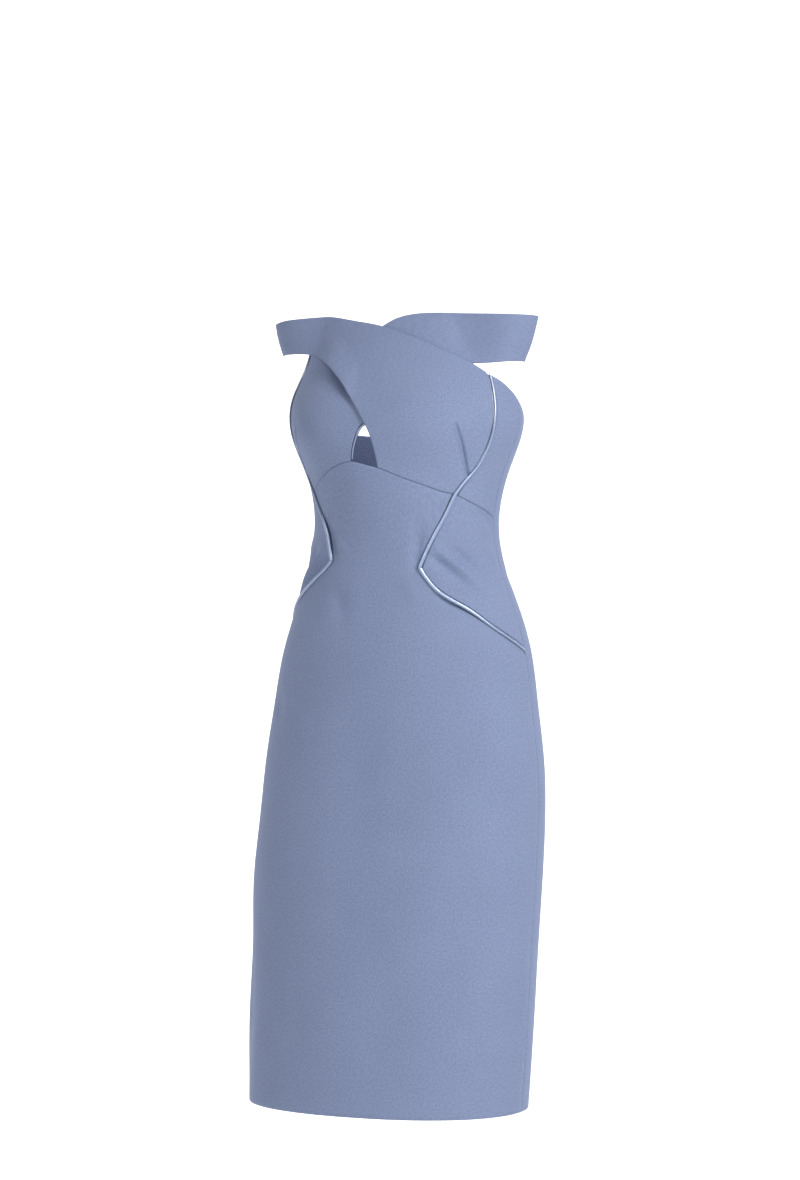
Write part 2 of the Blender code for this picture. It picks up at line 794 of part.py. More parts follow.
def crossed_band(name, lines, inner_table, top_table, surface, edge_inset, collection, material):
    """A cup that runs on as a band over the middle and ends free beyond the other arm."""
    inner = chart_curve(inner_table)
    outer = joined([(BAND_CORNER, lines["top"]), (1.0, chart_curve(top_table))])
    free_end = straight_edge(inner_table[-1], top_table[-1])
    chart = edge_patch(lines["under_cup"], free_end, inner, outer)
    across = [0.0] + even_steps(0.0, 1.0, CUP_STEPS)
    up = [0.0] + even_steps(0.0, BAND_CORNER, BODICE_STEPS)
    up += even_steps(BAND_CORNER, 1.0, BAND_STEPS)

    def outer_inset(part):
        return beside_piping(outer)(part) if part < BAND_CORNER + 1e-6 else 0.0

    insets = (edge_inset, outer_inset, seam_edge, free_edge)
    cloth_piece(name, on_its_side(chart, lines), surface, across, up, insets, collection, material)


# Piping

def spaced_path(pieces, spacing):
    """Points along several curves in turn, about one spacing apart."""
    path = []
    for curve, start, end in pieces:
        first = form_point(*curve(start))
        length = 0.0
        for i in range(1, 21):
            second = form_point(*curve(start + (end - start) * i / 20.0))
            length += (second - first).length
            first = second
        count = max(2, round(length / spacing))
        for i in range(0 if not path else 1, count + 1):
            path.append(curve(start + (end - start) * i / count))
    return path


def side_piping(name, lines, collection, material):
    """Satin cord from the top edge down to the waist corner and out to the side seam."""
    pieces = [
        (reversed_curve(lines["top"]), 0.006, 1.0),
        (reversed_curve(lines["waist"]), 0.0, 1.0),
        (lines["hip"], 0.0, 0.972),
    ]
    path = [(lines["side"] * angle, height) for angle, height in spaced_path(pieces, PIPING_SPACING)]
    radii = [piping_radius_at(height) for angle, height in path]
    piping_tube(name, path, radii, 0.0, collection, material)


def keyhole_piping(collection, material):
    """Thin satin cord on the inner band's edge of the keyhole, running on under the outer band."""
    curve = mirrored_curve(chart_curve(REAR_INNER_EDGE))
    path = spaced_path([(curve, 0.012, KEYHOLE_PIPING_SHARE)], PIPING_SPACING * 0.6)
    radii = [KEYHOLE_PIPING_RADIUS] * len(path)
    piping_tube("keyhole_piping", path, radii, KEYHOLE_PIPING_SINK, collection, material)


# Zip

def zip_pin_place():
    return form_point(180.0, PIN_HEIGHT) + form_normal(180.0, PIN_HEIGHT) * PIN_STANDOFF


def zip_slider(collection, helpers, material):
    """Slider of the concealed zip: a small plate with two lugs that hold a pin."""
    pin = zip_pin_place()
    plate_place = pin + Vector((0.0, SLIDER_STANDOFF - PIN_STANDOFF, 0.0))
    plate = box_mesh("zip_slider", SLIDER_SIZE, plate_place, SLIDER_BEVEL)
    slider = finish_object("zip_slider", plate, collection, material)
    for side in (-1.0, 1.0):
        lug_place = pin + Vector((side * LUG_SPACING / 2.0, -0.0006, 0.0))
        lug = helper("slider lug", box_mesh("slider lug", LUG_SIZE, lug_place, 0.0), helpers)
        add_to(slider, lug)
    rod = helper("slider pin", rod_mesh("slider pin", PIN_RADIUS, LUG_SPACING, pin), helpers)
    add_to(slider, rod)


def zip_pull(collection, helpers, material):
    """Slim pull tab that hangs from the slider's pin by an eye."""
    pin = zip_pin_place()
    knuckle = rod_mesh("zip_pull", PULL_KNUCKLE_RADIUS, PULL_WIDTH, Vector((0.0, 0.0, 0.0)))
    pull = finish_object("zip_pull", knuckle, collection, material)
    pull.location = pin
    tab_size = (PULL_WIDTH, PULL_THICKNESS, PULL_LENGTH)
    tab_drop = PULL_LENGTH / 2.0 + PULL_EYE_RADIUS + 0.0002
    tab_out = PULL_KNUCKLE_RADIUS - PULL_THICKNESS / 2.0
    tab_place = pin + Vector((0.0, tab_out, -tab_drop))
    tab = helper("pull tab", box_mesh("pull tab", tab_size, tab_place, 0.0002), helpers)
    add_to(pull, tab)
    eye = helper("pull eye", rod_mesh("pull eye", PULL_EYE_RADIUS, PULL_WIDTH * 2.0, pin), helpers)
    cut_from(pull, eye)


def main():
    clear_scene()
    scene = bpy.context.scene
    dress = bpy.data.collections.new("crossed_band_dress")
    helpers = bpy.data.collections.new("helpers")
    scene.collection.children.link(dress)
    scene.collection.children.link(helpers)
    crepe = surface_material("crepe", CREPE_COLOUR, 0.82, sheen=0.25)
    satin = surface_material("satin", SATIN_COLOUR, 0.28)
    metal = surface_material("zip_metal", METAL_COLOUR, 0.35, metallic=1.0)
    front_panel(dress, crepe)
    crossed_band("cross_band_front", LEFT, FRONT_INNER_EDGE, FRONT_TOP_EDGE, on_outer_band, free_edge,
                 dress, crepe)
    crossed_band("cross_band_rear", RIGHT, REAR_INNER_EDGE, REAR_TOP_EDGE, on_inner_band, keyhole_edge,
                 dress, crepe)
    for side, lines in (("left", LEFT), ("right", RIGHT)):
        side_bodice("side_bodice_" + side, lines, dress, crepe)
        side_hip("side_hip_" + side, lines, dress, crepe)
        back_half("back_" + side, lines, dress, crepe)
        side_piping("piping_" + side, lines, dress, satin)
    keyhole_piping(dress, satin)
    zip_slider(dress, helpers, metal)
    zip_pull(dress, helpers, metal)


main()
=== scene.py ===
"""Looks of a strapless crepe dress with two bands crossed over the bust, satin piping and a back zip."""
import functools
import json
import math
import bpy
import numpy as np
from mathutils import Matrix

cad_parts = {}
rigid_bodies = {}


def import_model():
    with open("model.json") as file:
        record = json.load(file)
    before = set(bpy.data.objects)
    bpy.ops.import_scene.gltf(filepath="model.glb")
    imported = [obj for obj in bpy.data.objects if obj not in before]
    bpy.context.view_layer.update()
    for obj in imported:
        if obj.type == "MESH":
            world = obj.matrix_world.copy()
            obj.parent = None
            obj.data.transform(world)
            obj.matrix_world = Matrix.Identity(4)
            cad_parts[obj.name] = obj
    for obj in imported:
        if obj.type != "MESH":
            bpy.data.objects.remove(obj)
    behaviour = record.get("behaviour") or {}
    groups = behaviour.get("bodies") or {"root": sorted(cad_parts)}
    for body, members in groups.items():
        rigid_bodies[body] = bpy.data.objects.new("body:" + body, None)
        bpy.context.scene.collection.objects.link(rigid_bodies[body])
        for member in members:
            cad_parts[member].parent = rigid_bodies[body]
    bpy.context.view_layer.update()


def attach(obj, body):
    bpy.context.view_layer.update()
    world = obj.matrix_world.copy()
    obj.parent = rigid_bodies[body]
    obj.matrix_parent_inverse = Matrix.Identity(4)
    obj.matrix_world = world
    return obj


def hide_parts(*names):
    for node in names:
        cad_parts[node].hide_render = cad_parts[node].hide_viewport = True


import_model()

# Sizes, in metres
WALL = 0.0018
SEAM_INSET = 0.00016
HEM_HEIGHT = -0.790
MEAN_RADIUS = 0.12
KEYHOLE_PIPING_RADIUS = 0.0013
KEYHOLE_PIPING_SINK = 0.0006
PIPING_CLEARANCE = 0.0010
CORD_STEP = 0.0015
CORD_UNEVENNESS = 0.22
CORD_SIDES = 18
# Shares of their curves where the cords start below the top edge and end short of the side seam
PIPING_START = 0.006
PIPING_END = 0.984
KEYHOLE_PIPING_START = 0.012
CURVE_POINTS = 60
BAND_LIFT = 0.0035
LIFT_FULL_BELOW_EDGE = 0.006
LIFT_NONE_BELOW_EDGE = 0.065
LIFT_FULL_ANGLE = 62.0
LIFT_NONE_ANGLE = 75.0
# The stiff outer band also stands off the other cup along its inner edge
EDGE_STANDOFF = 0.0045
STANDOFF_REACH = 0.035
STANDOFF_SPAN = (4.0, 20.0, 38.0, 60.0)
# The inner band's cup falls away under the outer band's edge, down towards the keyhole
VALLEY_DEPTH = 0.0062
VALLEY_HALF_WIDTH = 0.0058
VALLEY_ABOVE_EDGE = 0.0015
VALLEY_SPAN = (3.0, 20.0, 30.0, 56.0)
CUP_ANGLE = 36.0
CUP_HALF_ANGLE = 22.0
CUP_HEIGHT = -0.004
CUP_HALF_HEIGHT = 0.045
CUP_DEPTH = 0.012

# Where cloth turns over its edge or into a seam: distance from the edge, share of the wall that it turns in
EDGE_TURN = [
    (0.0000, 0.62),
    (0.0003, 0.28),
    (0.0009, 0.06),
]

# Camera, worked out from the photograph's outlines
VIEW_AZIMUTH = 25.0
VIEW_DISTANCE = 3.9
VIEW_HEIGHT = -0.190
VIEW_SIDE_STEP = -0.0059
VIEW_LENS = 101.3

# Level sections of the form:
# height, half_width, front_depth, back_depth, front_roundness, centre_x, centre_y
SECTIONS = [
    (-0.800, 0.1685, 0.119, 0.120, 2.20, -0.012, -0.022),
    (-0.680, 0.1730, 0.119, 0.122, 2.20, -0.010, -0.017),
    (-0.600, 0.1735, 0.118, 0.123, 2.20, -0.007, -0.014),
    (-0.530, 0.1755, 0.118, 0.124, 2.20, -0.005, -0.012),
    (-0.460, 0.1740, 0.113, 0.123, 2.20, -0.002, -0.007),
    (-0.390, 0.1700, 0.108, 0.119, 2.20, 0.000, -0.004),
    (-0.320, 0.1605, 0.103, 0.113, 2.20, 0.001, -0.002),
    (-0.260, 0.1505, 0.100, 0.106, 2.20, 0.003, -0.002),
    (-0.215, 0.1370, 0.096, 0.096, 2.20, 0.003, 0.000),
    (-0.167, 0.1205, 0.093, 0.087, 2.20, 0.002, 0.000),
    (-0.122, 0.1105, 0.099, 0.083, 2.10, 0.003, 0.000),
    (-0.085, 0.1127, 0.110, 0.083, 1.95, 0.0038, 0.000),
    (-0.045, 0.1252, 0.117, 0.089, 1.85, 0.0023, 0.002),
    (0.000, 0.1430, 0.118, 0.093, 1.80, 0.000, 0.003),
    (0.035, 0.1416, 0.106, 0.094, 1.85, -0.0016, 0.006),
    (0.065, 0.1305, 0.088, 0.094, 2.00, -0.0005, 0.010),
    (0.090, 0.1230, 0.072, 0.094, 2.10, 0.000, 0.008),
    (0.140, 0.1180, 0.050, 0.090, 2.20, 0.000, 0.002),
]
BACK_ROUNDNESS = 2.15

# Level sections of the band ends, which stand out beyond the arms:
# height, half_width, front_depth, roundness, centre_y
END_SECTIONS = [
    (0.050, 0.1450, 0.096, 1.95, 0.008),
    (0.070, 0.1475, 0.085, 2.05, 0.009),
    (0.090, 0.1560, 0.072, 2.10, 0.008),
    (0.140, 0.1720, 0.050, 2.20, 0.002),
]
END_STARTS = 60.0
END_WHOLE = 78.0

# Under-bust seam, a little higher on the -X side of the keyhole: angle, height
UNDER_BUST_SEAM = [
    (-90.0, -0.1060),
    (-76.5, -0.0965),
    (-63.0, -0.0870),
    (-51.0, -0.0755),
    (-46.0, -0.0710),
    (-34.0, -0.0600),
    (-23.0, -0.0500),
    (-15.0, -0.0445),
    (-7.5, -0.0430),
    (0.0, -0.0465),
    (7.5, -0.0505),
    (17.8, -0.0590),
    (31.5, -0.0690),
    (46.0, -0.0780),
    (53.5, -0.0810),
    (63.0, -0.0875),
    (76.5, -0.0965),
    (90.0, -0.1060),
]
KEYHOLE_ANGLE = 7.5
SEAM_CROSSING_ANGLE_LEFT = 53.5
SEAM_CROSSING_ANGLE_RIGHT = 51.0
SIDE_ANGLE = 90.0

# Piping from the waist corner up over the under-bust seam to the top edge: angle, height.
# Left is the wearer's left, the +X side; the -X side is written as if it were on the +X side.
PIPING_UPPER_LEFT = [
    (33.3, -0.1645),
    (38.3, -0.1420),
    (43.6, -0.1210),
    (49.0, -0.1010),
    (53.5, -0.0810),
    (59.5, -0.0645),
    (65.5, -0.0500),
    (69.0, -0.0350),
    (71.2, -0.0150),
    (72.6, 0.0100),
    (73.3, 0.0350),
    (72.8, 0.0590),
]
SEAM_CROSSING_ROW_LEFT = 4
PIPING_UPPER_RIGHT = [
    (33.9, -0.1567),
    (35.9, -0.1405),
    (37.9, -0.1240),
    (41.4, -0.1070),
    (46.2, -0.0915),
    (51.0, -0.0755),
    (55.3, -0.0610),
    (57.8, -0.0450),
    (59.0, -0.0300),
    (60.8, -0.0130),
    (64.3, 0.0070),
    (68.0, 0.0270),
    (70.8, 0.0480),
    (72.2, 0.0670),
    (72.8, 0.0885),
]
SEAM_CROSSING_ROW_RIGHT = 5
# Piping from the waist corner out to the side seam: angle, height
PIPING_HIP_LEFT = [
    (33.3, -0.1645),
    (43.0, -0.1900),
    (51.0, -0.2020),
    (59.6, -0.2135),
    (68.8, -0.2300),
    (79.2, -0.2460),
    (90.0, -0.2600),
]
PIPING_HIP_RIGHT = [
    (33.9, -0.1567),
    (40.4, -0.1668),
    (47.3, -0.1754),
    (54.6, -0.1847),
    (62.4, -0.1945),
    (70.0, -0.2050),
    (79.0, -0.2195),
    (90.0, -0.2390),
]
# Radius of the piping cord down its length: height, radius
PIPING_RADII = [
    (-0.262, 0.0019),
    (-0.235, 0.0021),
    (-0.200, 0.0025),
    (-0.165, 0.0027),
    (-0.125, 0.0026),
    (-0.085, 0.0023),
    (-0.045, 0.0020),
    (0.090, 0.0019),
]
# Top edge of the bodice side, from the piping round to the centre back: angle, height
SIDE_TOP_EDGE = [
    (72.8, 0.0590),
    (80.6, 0.0500),
    (88.1, 0.0369),
    (96.3, 0.0200),
    (104.0, 0.0070),
    (116.0, -0.0010),
    (140.0, -0.0060),
    (180.0, -0.0100),
]
# The -X side's piping and cup reach this much higher, up to the band that crosses them
RIGHT_CORNER_RISE = 0.0295
# Outer band, from its cup on the +X side over to its free end on the -X side: angle, height
FRONT_INNER_EDGE = [
    (7.5, -0.0505),
    (7.3, -0.0416),
    (6.4, -0.0279),
    (4.3, -0.0107),
    (0.2, 0.0044),
    (-5.8, 0.0210),
    (-16.1, 0.0406),
    (-27.9, 0.0555),
    (-41.9, 0.0695),
    (-53.0, 0.0785),
    (-62.0, 0.0845),
    (-71.0, 0.0880),
    (-84.0, 0.0890),
]
MIDDLE_ROW = 4
FRONT_TOP_EDGE = [
    (72.8, 0.0590),
    (67.7, 0.0650),
    (61.0, 0.0735),
    (52.0, 0.0830),
    (39.4, 0.0955),
    (15.6, 0.1086),
    (-9.1, 0.1171),
    (-35.2, 0.1229),
    (-52.6, 0.1279),
    (-64.3, 0.1305),
    (-72.0, 0.1300),
    (-78.5, 0.1284),
    (-83.0, 0.1260),
]
# Inner band, from its cup over to its free end, written as if its cup were on the +X side
REAR_INNER_EDGE = [
    (7.5, -0.0430),
    (7.0, -0.0365),
    (5.6, -0.0252),
    (3.5, -0.0138),
    (1.2, -0.0048),
    (-2.2, 0.0008),
    (-10.0, 0.0110),
    (-22.0, 0.0300),
    (-35.0, 0.0500),
    (-50.0, 0.0655),
    (-60.0, 0.0705),
    (-70.0, 0.0712),
    (-79.0, 0.0732),
    (-90.5, 0.0740),
]
APEX_ROW = 5
REAR_TOP_EDGE = [
    (72.8, 0.0885),
    (64.0, 0.0895),
    (50.0, 0.0930),
    (30.0, 0.1020),
    (6.6, 0.1150),
    (-5.3, 0.1220),
    (-17.6, 0.1268),
    (-33.1, 0.1298),
    (-52.9, 0.1307),
    (-66.2, 0.1294),
    (-78.1, 0.1275),
    (-90.5, 0.1262),
]
BAND_CORNER = 0.40
SKIRT_SHARE = 0.62
WAIST_SHARE = 0.80
KEYHOLE_PIPING_SHARE = 0.25

# Angle beside the side seam in which its seam allowance holds the cloth level
SEAM_HOLDS_WITHIN = 4.5
# Sideways bow of a crease at its middle, as a share of its length
CREASE_BOW = 0.06

# Creases of the worn cloth, as soft troughs (below zero) and ridges:
# from angle, from height, to angle, to height, share of the length where it is deepest, half_width, rise
HIP_CREASES = [
    (34.0, -0.1440, 72.0, -0.2130, 0.30, 0.0078, -0.0050),
    (38.5, -0.1380, 76.0, -0.2060, 0.40, 0.0068, 0.0046),
    (42.0, -0.1350, 84.0, -0.1960, 0.45, 0.0088, -0.0056),
    (66.0, -0.0985, 93.0, -0.1230, 0.60, 0.0050, -0.0030),
    (60.0, -0.1290, 93.0, -0.1640, 0.55, 0.0080, 0.0022),
    (46.0, -0.1840, 74.0, -0.2240, 0.30, 0.0060, -0.0018),
]
PANEL_CREASES = [
    (32.0, -0.1010, 28.0, -0.1760, 0.60, 0.0072, -0.0040),
    (36.0, -0.1900, 68.0, -0.2280, 0.45, 0.0070, -0.0032),
    (60.0, -0.2260, 72.0, -0.2760, 0.40, 0.0120, 0.0018),
    (-43.0, -0.0900, -31.0, -0.1660, 0.60, 0.0070, -0.0036),
    (-31.5, -0.1270, -20.0, -0.1520, 0.40, 0.0055, 0.0016),
    (-35.0, -0.1740, -19.0, -0.2460, 0.45, 0.0125, -0.0020),
    (18.0, -0.1700, 34.0, -0.2150, 0.50, 0.0100, 0.0012),
    (75.0, -0.5600, 76.0, -0.8000, 0.60, 0.0080, -0.0036),
    (84.0, -0.5700, 83.0, -0.8000, 0.55, 0.0070, 0.0030),
    (67.0, -0.4400, 70.0, -0.6400, 0.50, 0.0100, -0.0018),
    (-70.0, -0.3000, -60.0, -0.3600, 0.45, 0.0080, -0.0020),
    (-74.0, -0.5600, -75.0, -0.8000, 0.60, 0.0110, -0.0020),
    (-38.0, -0.5400, -42.0, -0.8000, 0.65, 0.0240, -0.0020),
    (8.0, -0.5200, 14.0, -0.8000, 0.70, 0.0260, -0.0018),
    (40.0, -0.3200, 36.0, -0.5600, 0.45, 0.0240, 0.0018),
    (-14.0, -0.3000, -10.0, -0.5600, 0.50, 0.0280, -0.0018),
]
BACK_CREASES = [
    (112.0, -0.1260, 146.0, -0.1500, 0.40, 0.0070, -0.0032),
    (118.0, -0.1440, 158.0, -0.1640, 0.50, 0.0080, 0.0024),
    (134.0, -0.1180, 170.0, -0.1300, 0.60, 0.0060, -0.0026),
    (146.0, -0.1580, 174.0, -0.1560, 0.55, 0.0070, -0.0022),
    (98.0, -0.1700, 132.0, -0.2060, 0.35, 0.0080, -0.0022),
    (110.0, -0.3400, 146.0, -0.4100, 0.50, 0.0140, -0.0028),
    (150.0, -0.4700, 151.0, -0.8000, 0.60, 0.0150, -0.0030),
    (118.0, -0.5200, 121.0, -0.8000, 0.60, 0.0130, 0.0026),
]
CUP_DARTS = [
    (49.5, 0.0037),
    (51.8, -0.0099),
    (55.2, -0.0278),
    (58.8, -0.0458),
    (61.4, -0.0590),
]
DART_HALF_WIDTH = 0.0014
DART_DEPTH = 0.0034
DART_LIP = 0.0015
DART_LIP_PLACE = 2.2 * DART_HALF_WIDTH
DART_TIP_DEPTH = 0.0006
DART_TIP_REACH = 0.010
DART_FADE_POINTS = 8.0


# Smooth curves through short tables

def natural_spline(places, values):
    """A smooth function through values at rising places, for single places and for arrays."""
    places = np.array(places, float)
    values = np.array(values, float)
    count = len(places)
    spans = np.diff(places)
    matrix = np.eye(count)
    right_side = np.zeros(count)
    for i in range(1, count - 1):
        matrix[i, i - 1] = spans[i - 1]
        matrix[i, i] = 2.0 * (spans[i - 1] + spans[i])
        matrix[i, i + 1] = spans[i]
        rise = (values[i + 1] - values[i]) / spans[i] - (values[i] - values[i - 1]) / spans[i - 1]
        right_side[i] = 6.0 * rise
    bends = np.linalg.solve(matrix, right_side)

    def at(place):
        place = np.clip(place, places[0], places[-1])
        i = np.clip(np.searchsorted(places, place) - 1, 0, count - 2)
        before = places[i + 1] - place
        after = place - places[i]
        span = spans[i]
        value = (bends[i] * before ** 3 + bends[i + 1] * after ** 3) / (6.0 * span)
        value = value + (values[i] / span - bends[i] * span / 6.0) * before
        return value + (values[i + 1] / span - bends[i + 1] * span / 6.0) * after

    return at


def chart_curve(table, first_row=0, last_row=None):
    """A smooth curve through a table of angles and heights; 0 to 1 runs between the rows named."""
    angles = np.array([row[0] for row in table])
    heights = np.array([row[1] for row in table])
    steps = np.hypot(np.radians(np.diff(angles)) * MEAN_RADIUS, np.diff(heights))
    lengths = np.concatenate([[0.0], np.cumsum(steps)])
    angle_at = natural_spline(lengths, angles)
    height_at = natural_spline(lengths, heights)
    start = lengths[first_row]
    end = lengths[-1 if last_row is None else last_row]

    def place(part):
        length = start + (end - start) * part
        return np.array([angle_at(length), height_at(length)])

    return place


def column_spline(table, index):
    return natural_spline([row[0] for row in table], [row[index] for row in table])


half_width_at = column_spline(SECTIONS, 1)
front_depth_at = column_spline(SECTIONS, 2)
back_depth_at = column_spline(SECTIONS, 3)
roundness_at = column_spline(SECTIONS, 4)
centre_x_at = column_spline(SECTIONS, 5)
centre_y_at = column_spline(SECTIONS, 6)
end_half_width_at = column_spline(END_SECTIONS, 1)
end_depth_at = column_spline(END_SECTIONS, 2)
end_roundness_at = column_spline(END_SECTIONS, 3)
end_centre_y_at = column_spline(END_SECTIONS, 4)
under_bust_height = column_spline(UNDER_BUST_SEAM, 1)
piping_radius_at = column_spline(PIPING_RADII, 1)
back_top_height = column_spline(SIDE_TOP_EDGE, 1)
rear_edge_height = natural_spline([-row[0] for row in REAR_INNER_EDGE[APEX_ROW:]],
                                  [row[1] for row in REAR_INNER_EDGE[APEX_ROW:]])
front_edge_height = natural_spline([-row[0] for row in FRONT_INNER_EDGE[MIDDLE_ROW:]],
                                   [row[1] for row in FRONT_INNER_EDGE[MIDDLE_ROW:]])


# The form that all the cloth lies on, the same as the solids'

def smooth_step(value):
    value = np.clip(value, 0.0, 1.0)
    return value * value * (3.0 - 2.0 * value)


def rounded_radius(across, ahead, half_width, depth, power):
    return ((np.abs(across) / half_width) ** power + (np.abs(ahead) / depth) ** power) ** (-1.0 / power)


def form_points(angle, height, end_side=0.0):
    """Points of the body form; a band's own end side stands out beyond the arm."""
    across = np.sin(np.radians(angle))
    ahead = np.cos(np.radians(angle))
    depth = np.where(ahead > 0.0, front_depth_at(height), back_depth_at(height))
    power = np.where(ahead > 0.0, roundness_at(height), BACK_ROUNDNESS)
    radius = rounded_radius(across, ahead, half_width_at(height), depth, power)
    beside = (np.abs(angle) - CUP_ANGLE) / CUP_HALF_ANGLE
    above = (height - CUP_HEIGHT) / CUP_HALF_HEIGHT
    radius = radius + CUP_DEPTH * np.exp(-beside * beside - above * above)
    x = centre_x_at(height) + radius * across
    y = centre_y_at(height) - radius * ahead
    share = smooth_step((angle * end_side - END_STARTS) / (END_WHOLE - END_STARTS))
    end_radius = rounded_radius(across, ahead, end_half_width_at(height), end_depth_at(height),
                                end_roundness_at(height))
    x = x + (end_radius * across - x) * share
    y = y + (end_centre_y_at(height) - end_radius * ahead - y) * share
    return np.stack([x, y, height + 0.0 * x], axis=-1)


def form_normals(angle, height, end_side=0.0):
    across = form_points(angle + 0.4, height, end_side) - form_points(angle - 0.4, height, end_side)
    upward = form_points(angle, height + 0.0008, end_side) - form_points(angle, height - 0.0008, end_side)
    normal = np.cross(across, upward)
    return normal / np.linalg.norm(normal, axis=-1, keepdims=True)


def share_along(angle, span):
    """Rises from 0 to 1 and falls back to 0 over the four angles of a span."""
    starts, whole, fades, ends = span
    return smooth_step((angle - starts) / (whole - starts)) * smooth_step((ends - angle) / (ends - fades))


def fall_of_inner_band(angle, height):
    """The inner band's cup falls away under the outer band's inner edge."""
    beside = (height - front_edge_height(-angle) - VALLEY_ABOVE_EDGE) / VALLEY_HALF_WIDTH
    return -VALLEY_DEPTH * share_along(-angle, VALLEY_SPAN) * np.exp(-beside * beside)


def lift_of_outer_band(angle, height):
    below = rear_edge_height(angle) - height
    ramp = (LIFT_NONE_BELOW_EDGE - below) / (LIFT_NONE_BELOW_EDGE - LIFT_FULL_BELOW_EDGE)
    beside = (LIFT_NONE_ANGLE - angle) / (LIFT_NONE_ANGLE - LIFT_FULL_ANGLE)
    along = share_along(-angle, STANDOFF_SPAN)
    above = (height - front_edge_height(-angle)) / STANDOFF_REACH
    standoff = EDGE_STANDOFF * along * smooth_step(1.0 - above)
    return BAND_LIFT * smooth_step(ramp) * smooth_step(beside) + standoff


def creases(rows, sign=1.0):
    """A function for how far the worn cloth rises or falls by its creases."""
    def rise(angle, height):
        total = np.zeros_like(height + angle)
        for from_angle, from_height, to_angle, to_height, deepest, half_width, depth in rows:
            run_across = math.radians(to_angle - from_angle) * MEAN_RADIUS
            run_up = to_height - from_height
            length = math.hypot(run_across, run_up)
            across = np.radians(sign * angle - from_angle) * MEAN_RADIUS
            upward = height - from_height
            along = (across * run_across + upward * run_up) / length ** 2
            beside = (upward * run_across - across * run_up) / length
            bow = CREASE_BOW * length * (4.0 * along * (1.0 - along))
            strength = smooth_step(along / deepest) * smooth_step((1.0 - along) / (1.0 - deepest))
            total = total + depth * strength * np.exp(-((beside - bow) / half_width) ** 2)
        from_seam = np.abs(np.abs(angle) - SIDE_ANGLE)
        return total * smooth_step(from_seam / SEAM_HOLDS_WITHIN)

    return rise


def dart_relief(side):
    """A sewn dart on a cup: a fine trough, a raised lip on its inner side and a soft hollow at its tip."""
    curve = chart_curve(CUP_DARTS)
    line = np.array([curve(part) for part in np.linspace(0.0, 1.0, CURVE_POINTS)])

    def rise(angle, height):
        across = np.radians(angle[..., None] * side - line[:, 0]) * MEAN_RADIUS
        upward = height[..., None] - line[:, 1]
        distance = np.hypot(across, upward)
        nearest = np.argmin(distance, axis=-1)
        gap = np.take_along_axis(distance, nearest[..., None], -1)[..., 0]
        inward = np.take_along_axis(across, nearest[..., None], -1)[..., 0]
        fade = smooth_step(nearest / DART_FADE_POINTS)
        trough = -DART_DEPTH * np.exp(-(gap / DART_HALF_WIDTH) ** 2) * fade
        from_lip = (gap - DART_LIP_PLACE) / DART_HALF_WIDTH
        lip = DART_LIP * np.exp(-from_lip ** 2) * (inward < 0) * fade
        tip = np.hypot(across[..., 0], upward[..., 0])
        return trough + lip - DART_TIP_DEPTH * np.exp(-(tip / DART_TIP_REACH) ** 2)

    return rise


# Charts of the pieces: four edges and what lies between them

def edge_patch(bottom, top, left, right):
    corners = (bottom(0.0), bottom(1.0), top(0.0), top(1.0))

    def place(across, up):
        between_ends = bottom(across) * (1.0 - up) + top(across) * up
        between_sides = left(up) * (1.0 - across) + right(up) * across
        low = corners[0] * (1.0 - across) + corners[1] * across
        high = corners[2] * (1.0 - across) + corners[3] * across
        return between_ends + between_sides - low * (1.0 - up) - high * up

    return place


def joined(pieces):
    """One edge made of several curves; each row is the share at its end and the curve."""
    def place(part):
        start = 0.0
        for end, curve in pieces:
            if part <= end + 1e-9:
                return curve(min((part - start) / (end - start), 1.0))
            start = end
        return pieces[-1][1](1.0)

    return place


def reversed_curve(curve):
    return lambda part: curve(1.0 - part)


def mirrored_curve(curve):
    return lambda part: curve(part) * np.array([-1.0, 1.0])


def on_its_side(chart, lines):
    """A chart drawn on the +X side, turned over to the -X side where its lines belong there."""
    return lambda across, up: chart(across, up) * np.array([lines["side"], 1.0])


def straight_edge(start, end):
    start = np.array(start, float)
    end = np.array(end, float)
    return lambda part: start + (end - start) * part


def under_bust_edge(first_angle, last_angle, side):
    """The under-bust seam between two angles; a side of -1 reads it from the -X side."""
    def place(part):
        angle = first_angle + (last_angle - first_angle) * part
        return np.array([angle, float(under_bust_height(angle * side))])

    return place


def side_top_edge(corner_rise):
    """Top edge of the bodice side, from the piping to the side seam."""
    first_angle = SIDE_TOP_EDGE[0][0]

    def place(part):
        angle = first_angle + (SIDE_ANGLE - first_angle) * part
        return np.array([angle, float(back_top_height(angle)) + corner_rise * (1.0 - part) ** 2])

    return place


def remembered(curve):
    """The same curve, which keeps each place that it has worked out."""
    return functools.lru_cache(maxsize=None)(curve)


def side_lines(upper_table, crossing_row, hip_table, crossing_angle, corner_rise, side):
    """One side's seam lines, written as if on the +X side: the piping's three parts and what lies beside."""
    return {
        "side": side,
        "top": remembered(chart_curve(upper_table, crossing_row)),
        "waist": remembered(chart_curve(upper_table, 0, crossing_row)),
        "hip": remembered(chart_curve(hip_table)),
        "hip_end": hip_table[-1],
        "under_bust": remembered(under_bust_edge(crossing_angle, SIDE_ANGLE, side)),
        "under_cup": remembered(under_bust_edge(KEYHOLE_ANGLE, crossing_angle, side)),
        "top_edge": remembered(side_top_edge(corner_rise)),
    }


LEFT = side_lines(PIPING_UPPER_LEFT, SEAM_CROSSING_ROW_LEFT, PIPING_HIP_LEFT, SEAM_CROSSING_ANGLE_LEFT,
                  0.0, 1.0)
RIGHT = side_lines(PIPING_UPPER_RIGHT, SEAM_CROSSING_ROW_RIGHT, PIPING_HIP_RIGHT, SEAM_CROSSING_ANGLE_RIGHT,
                   RIGHT_CORNER_RISE, -1.0)


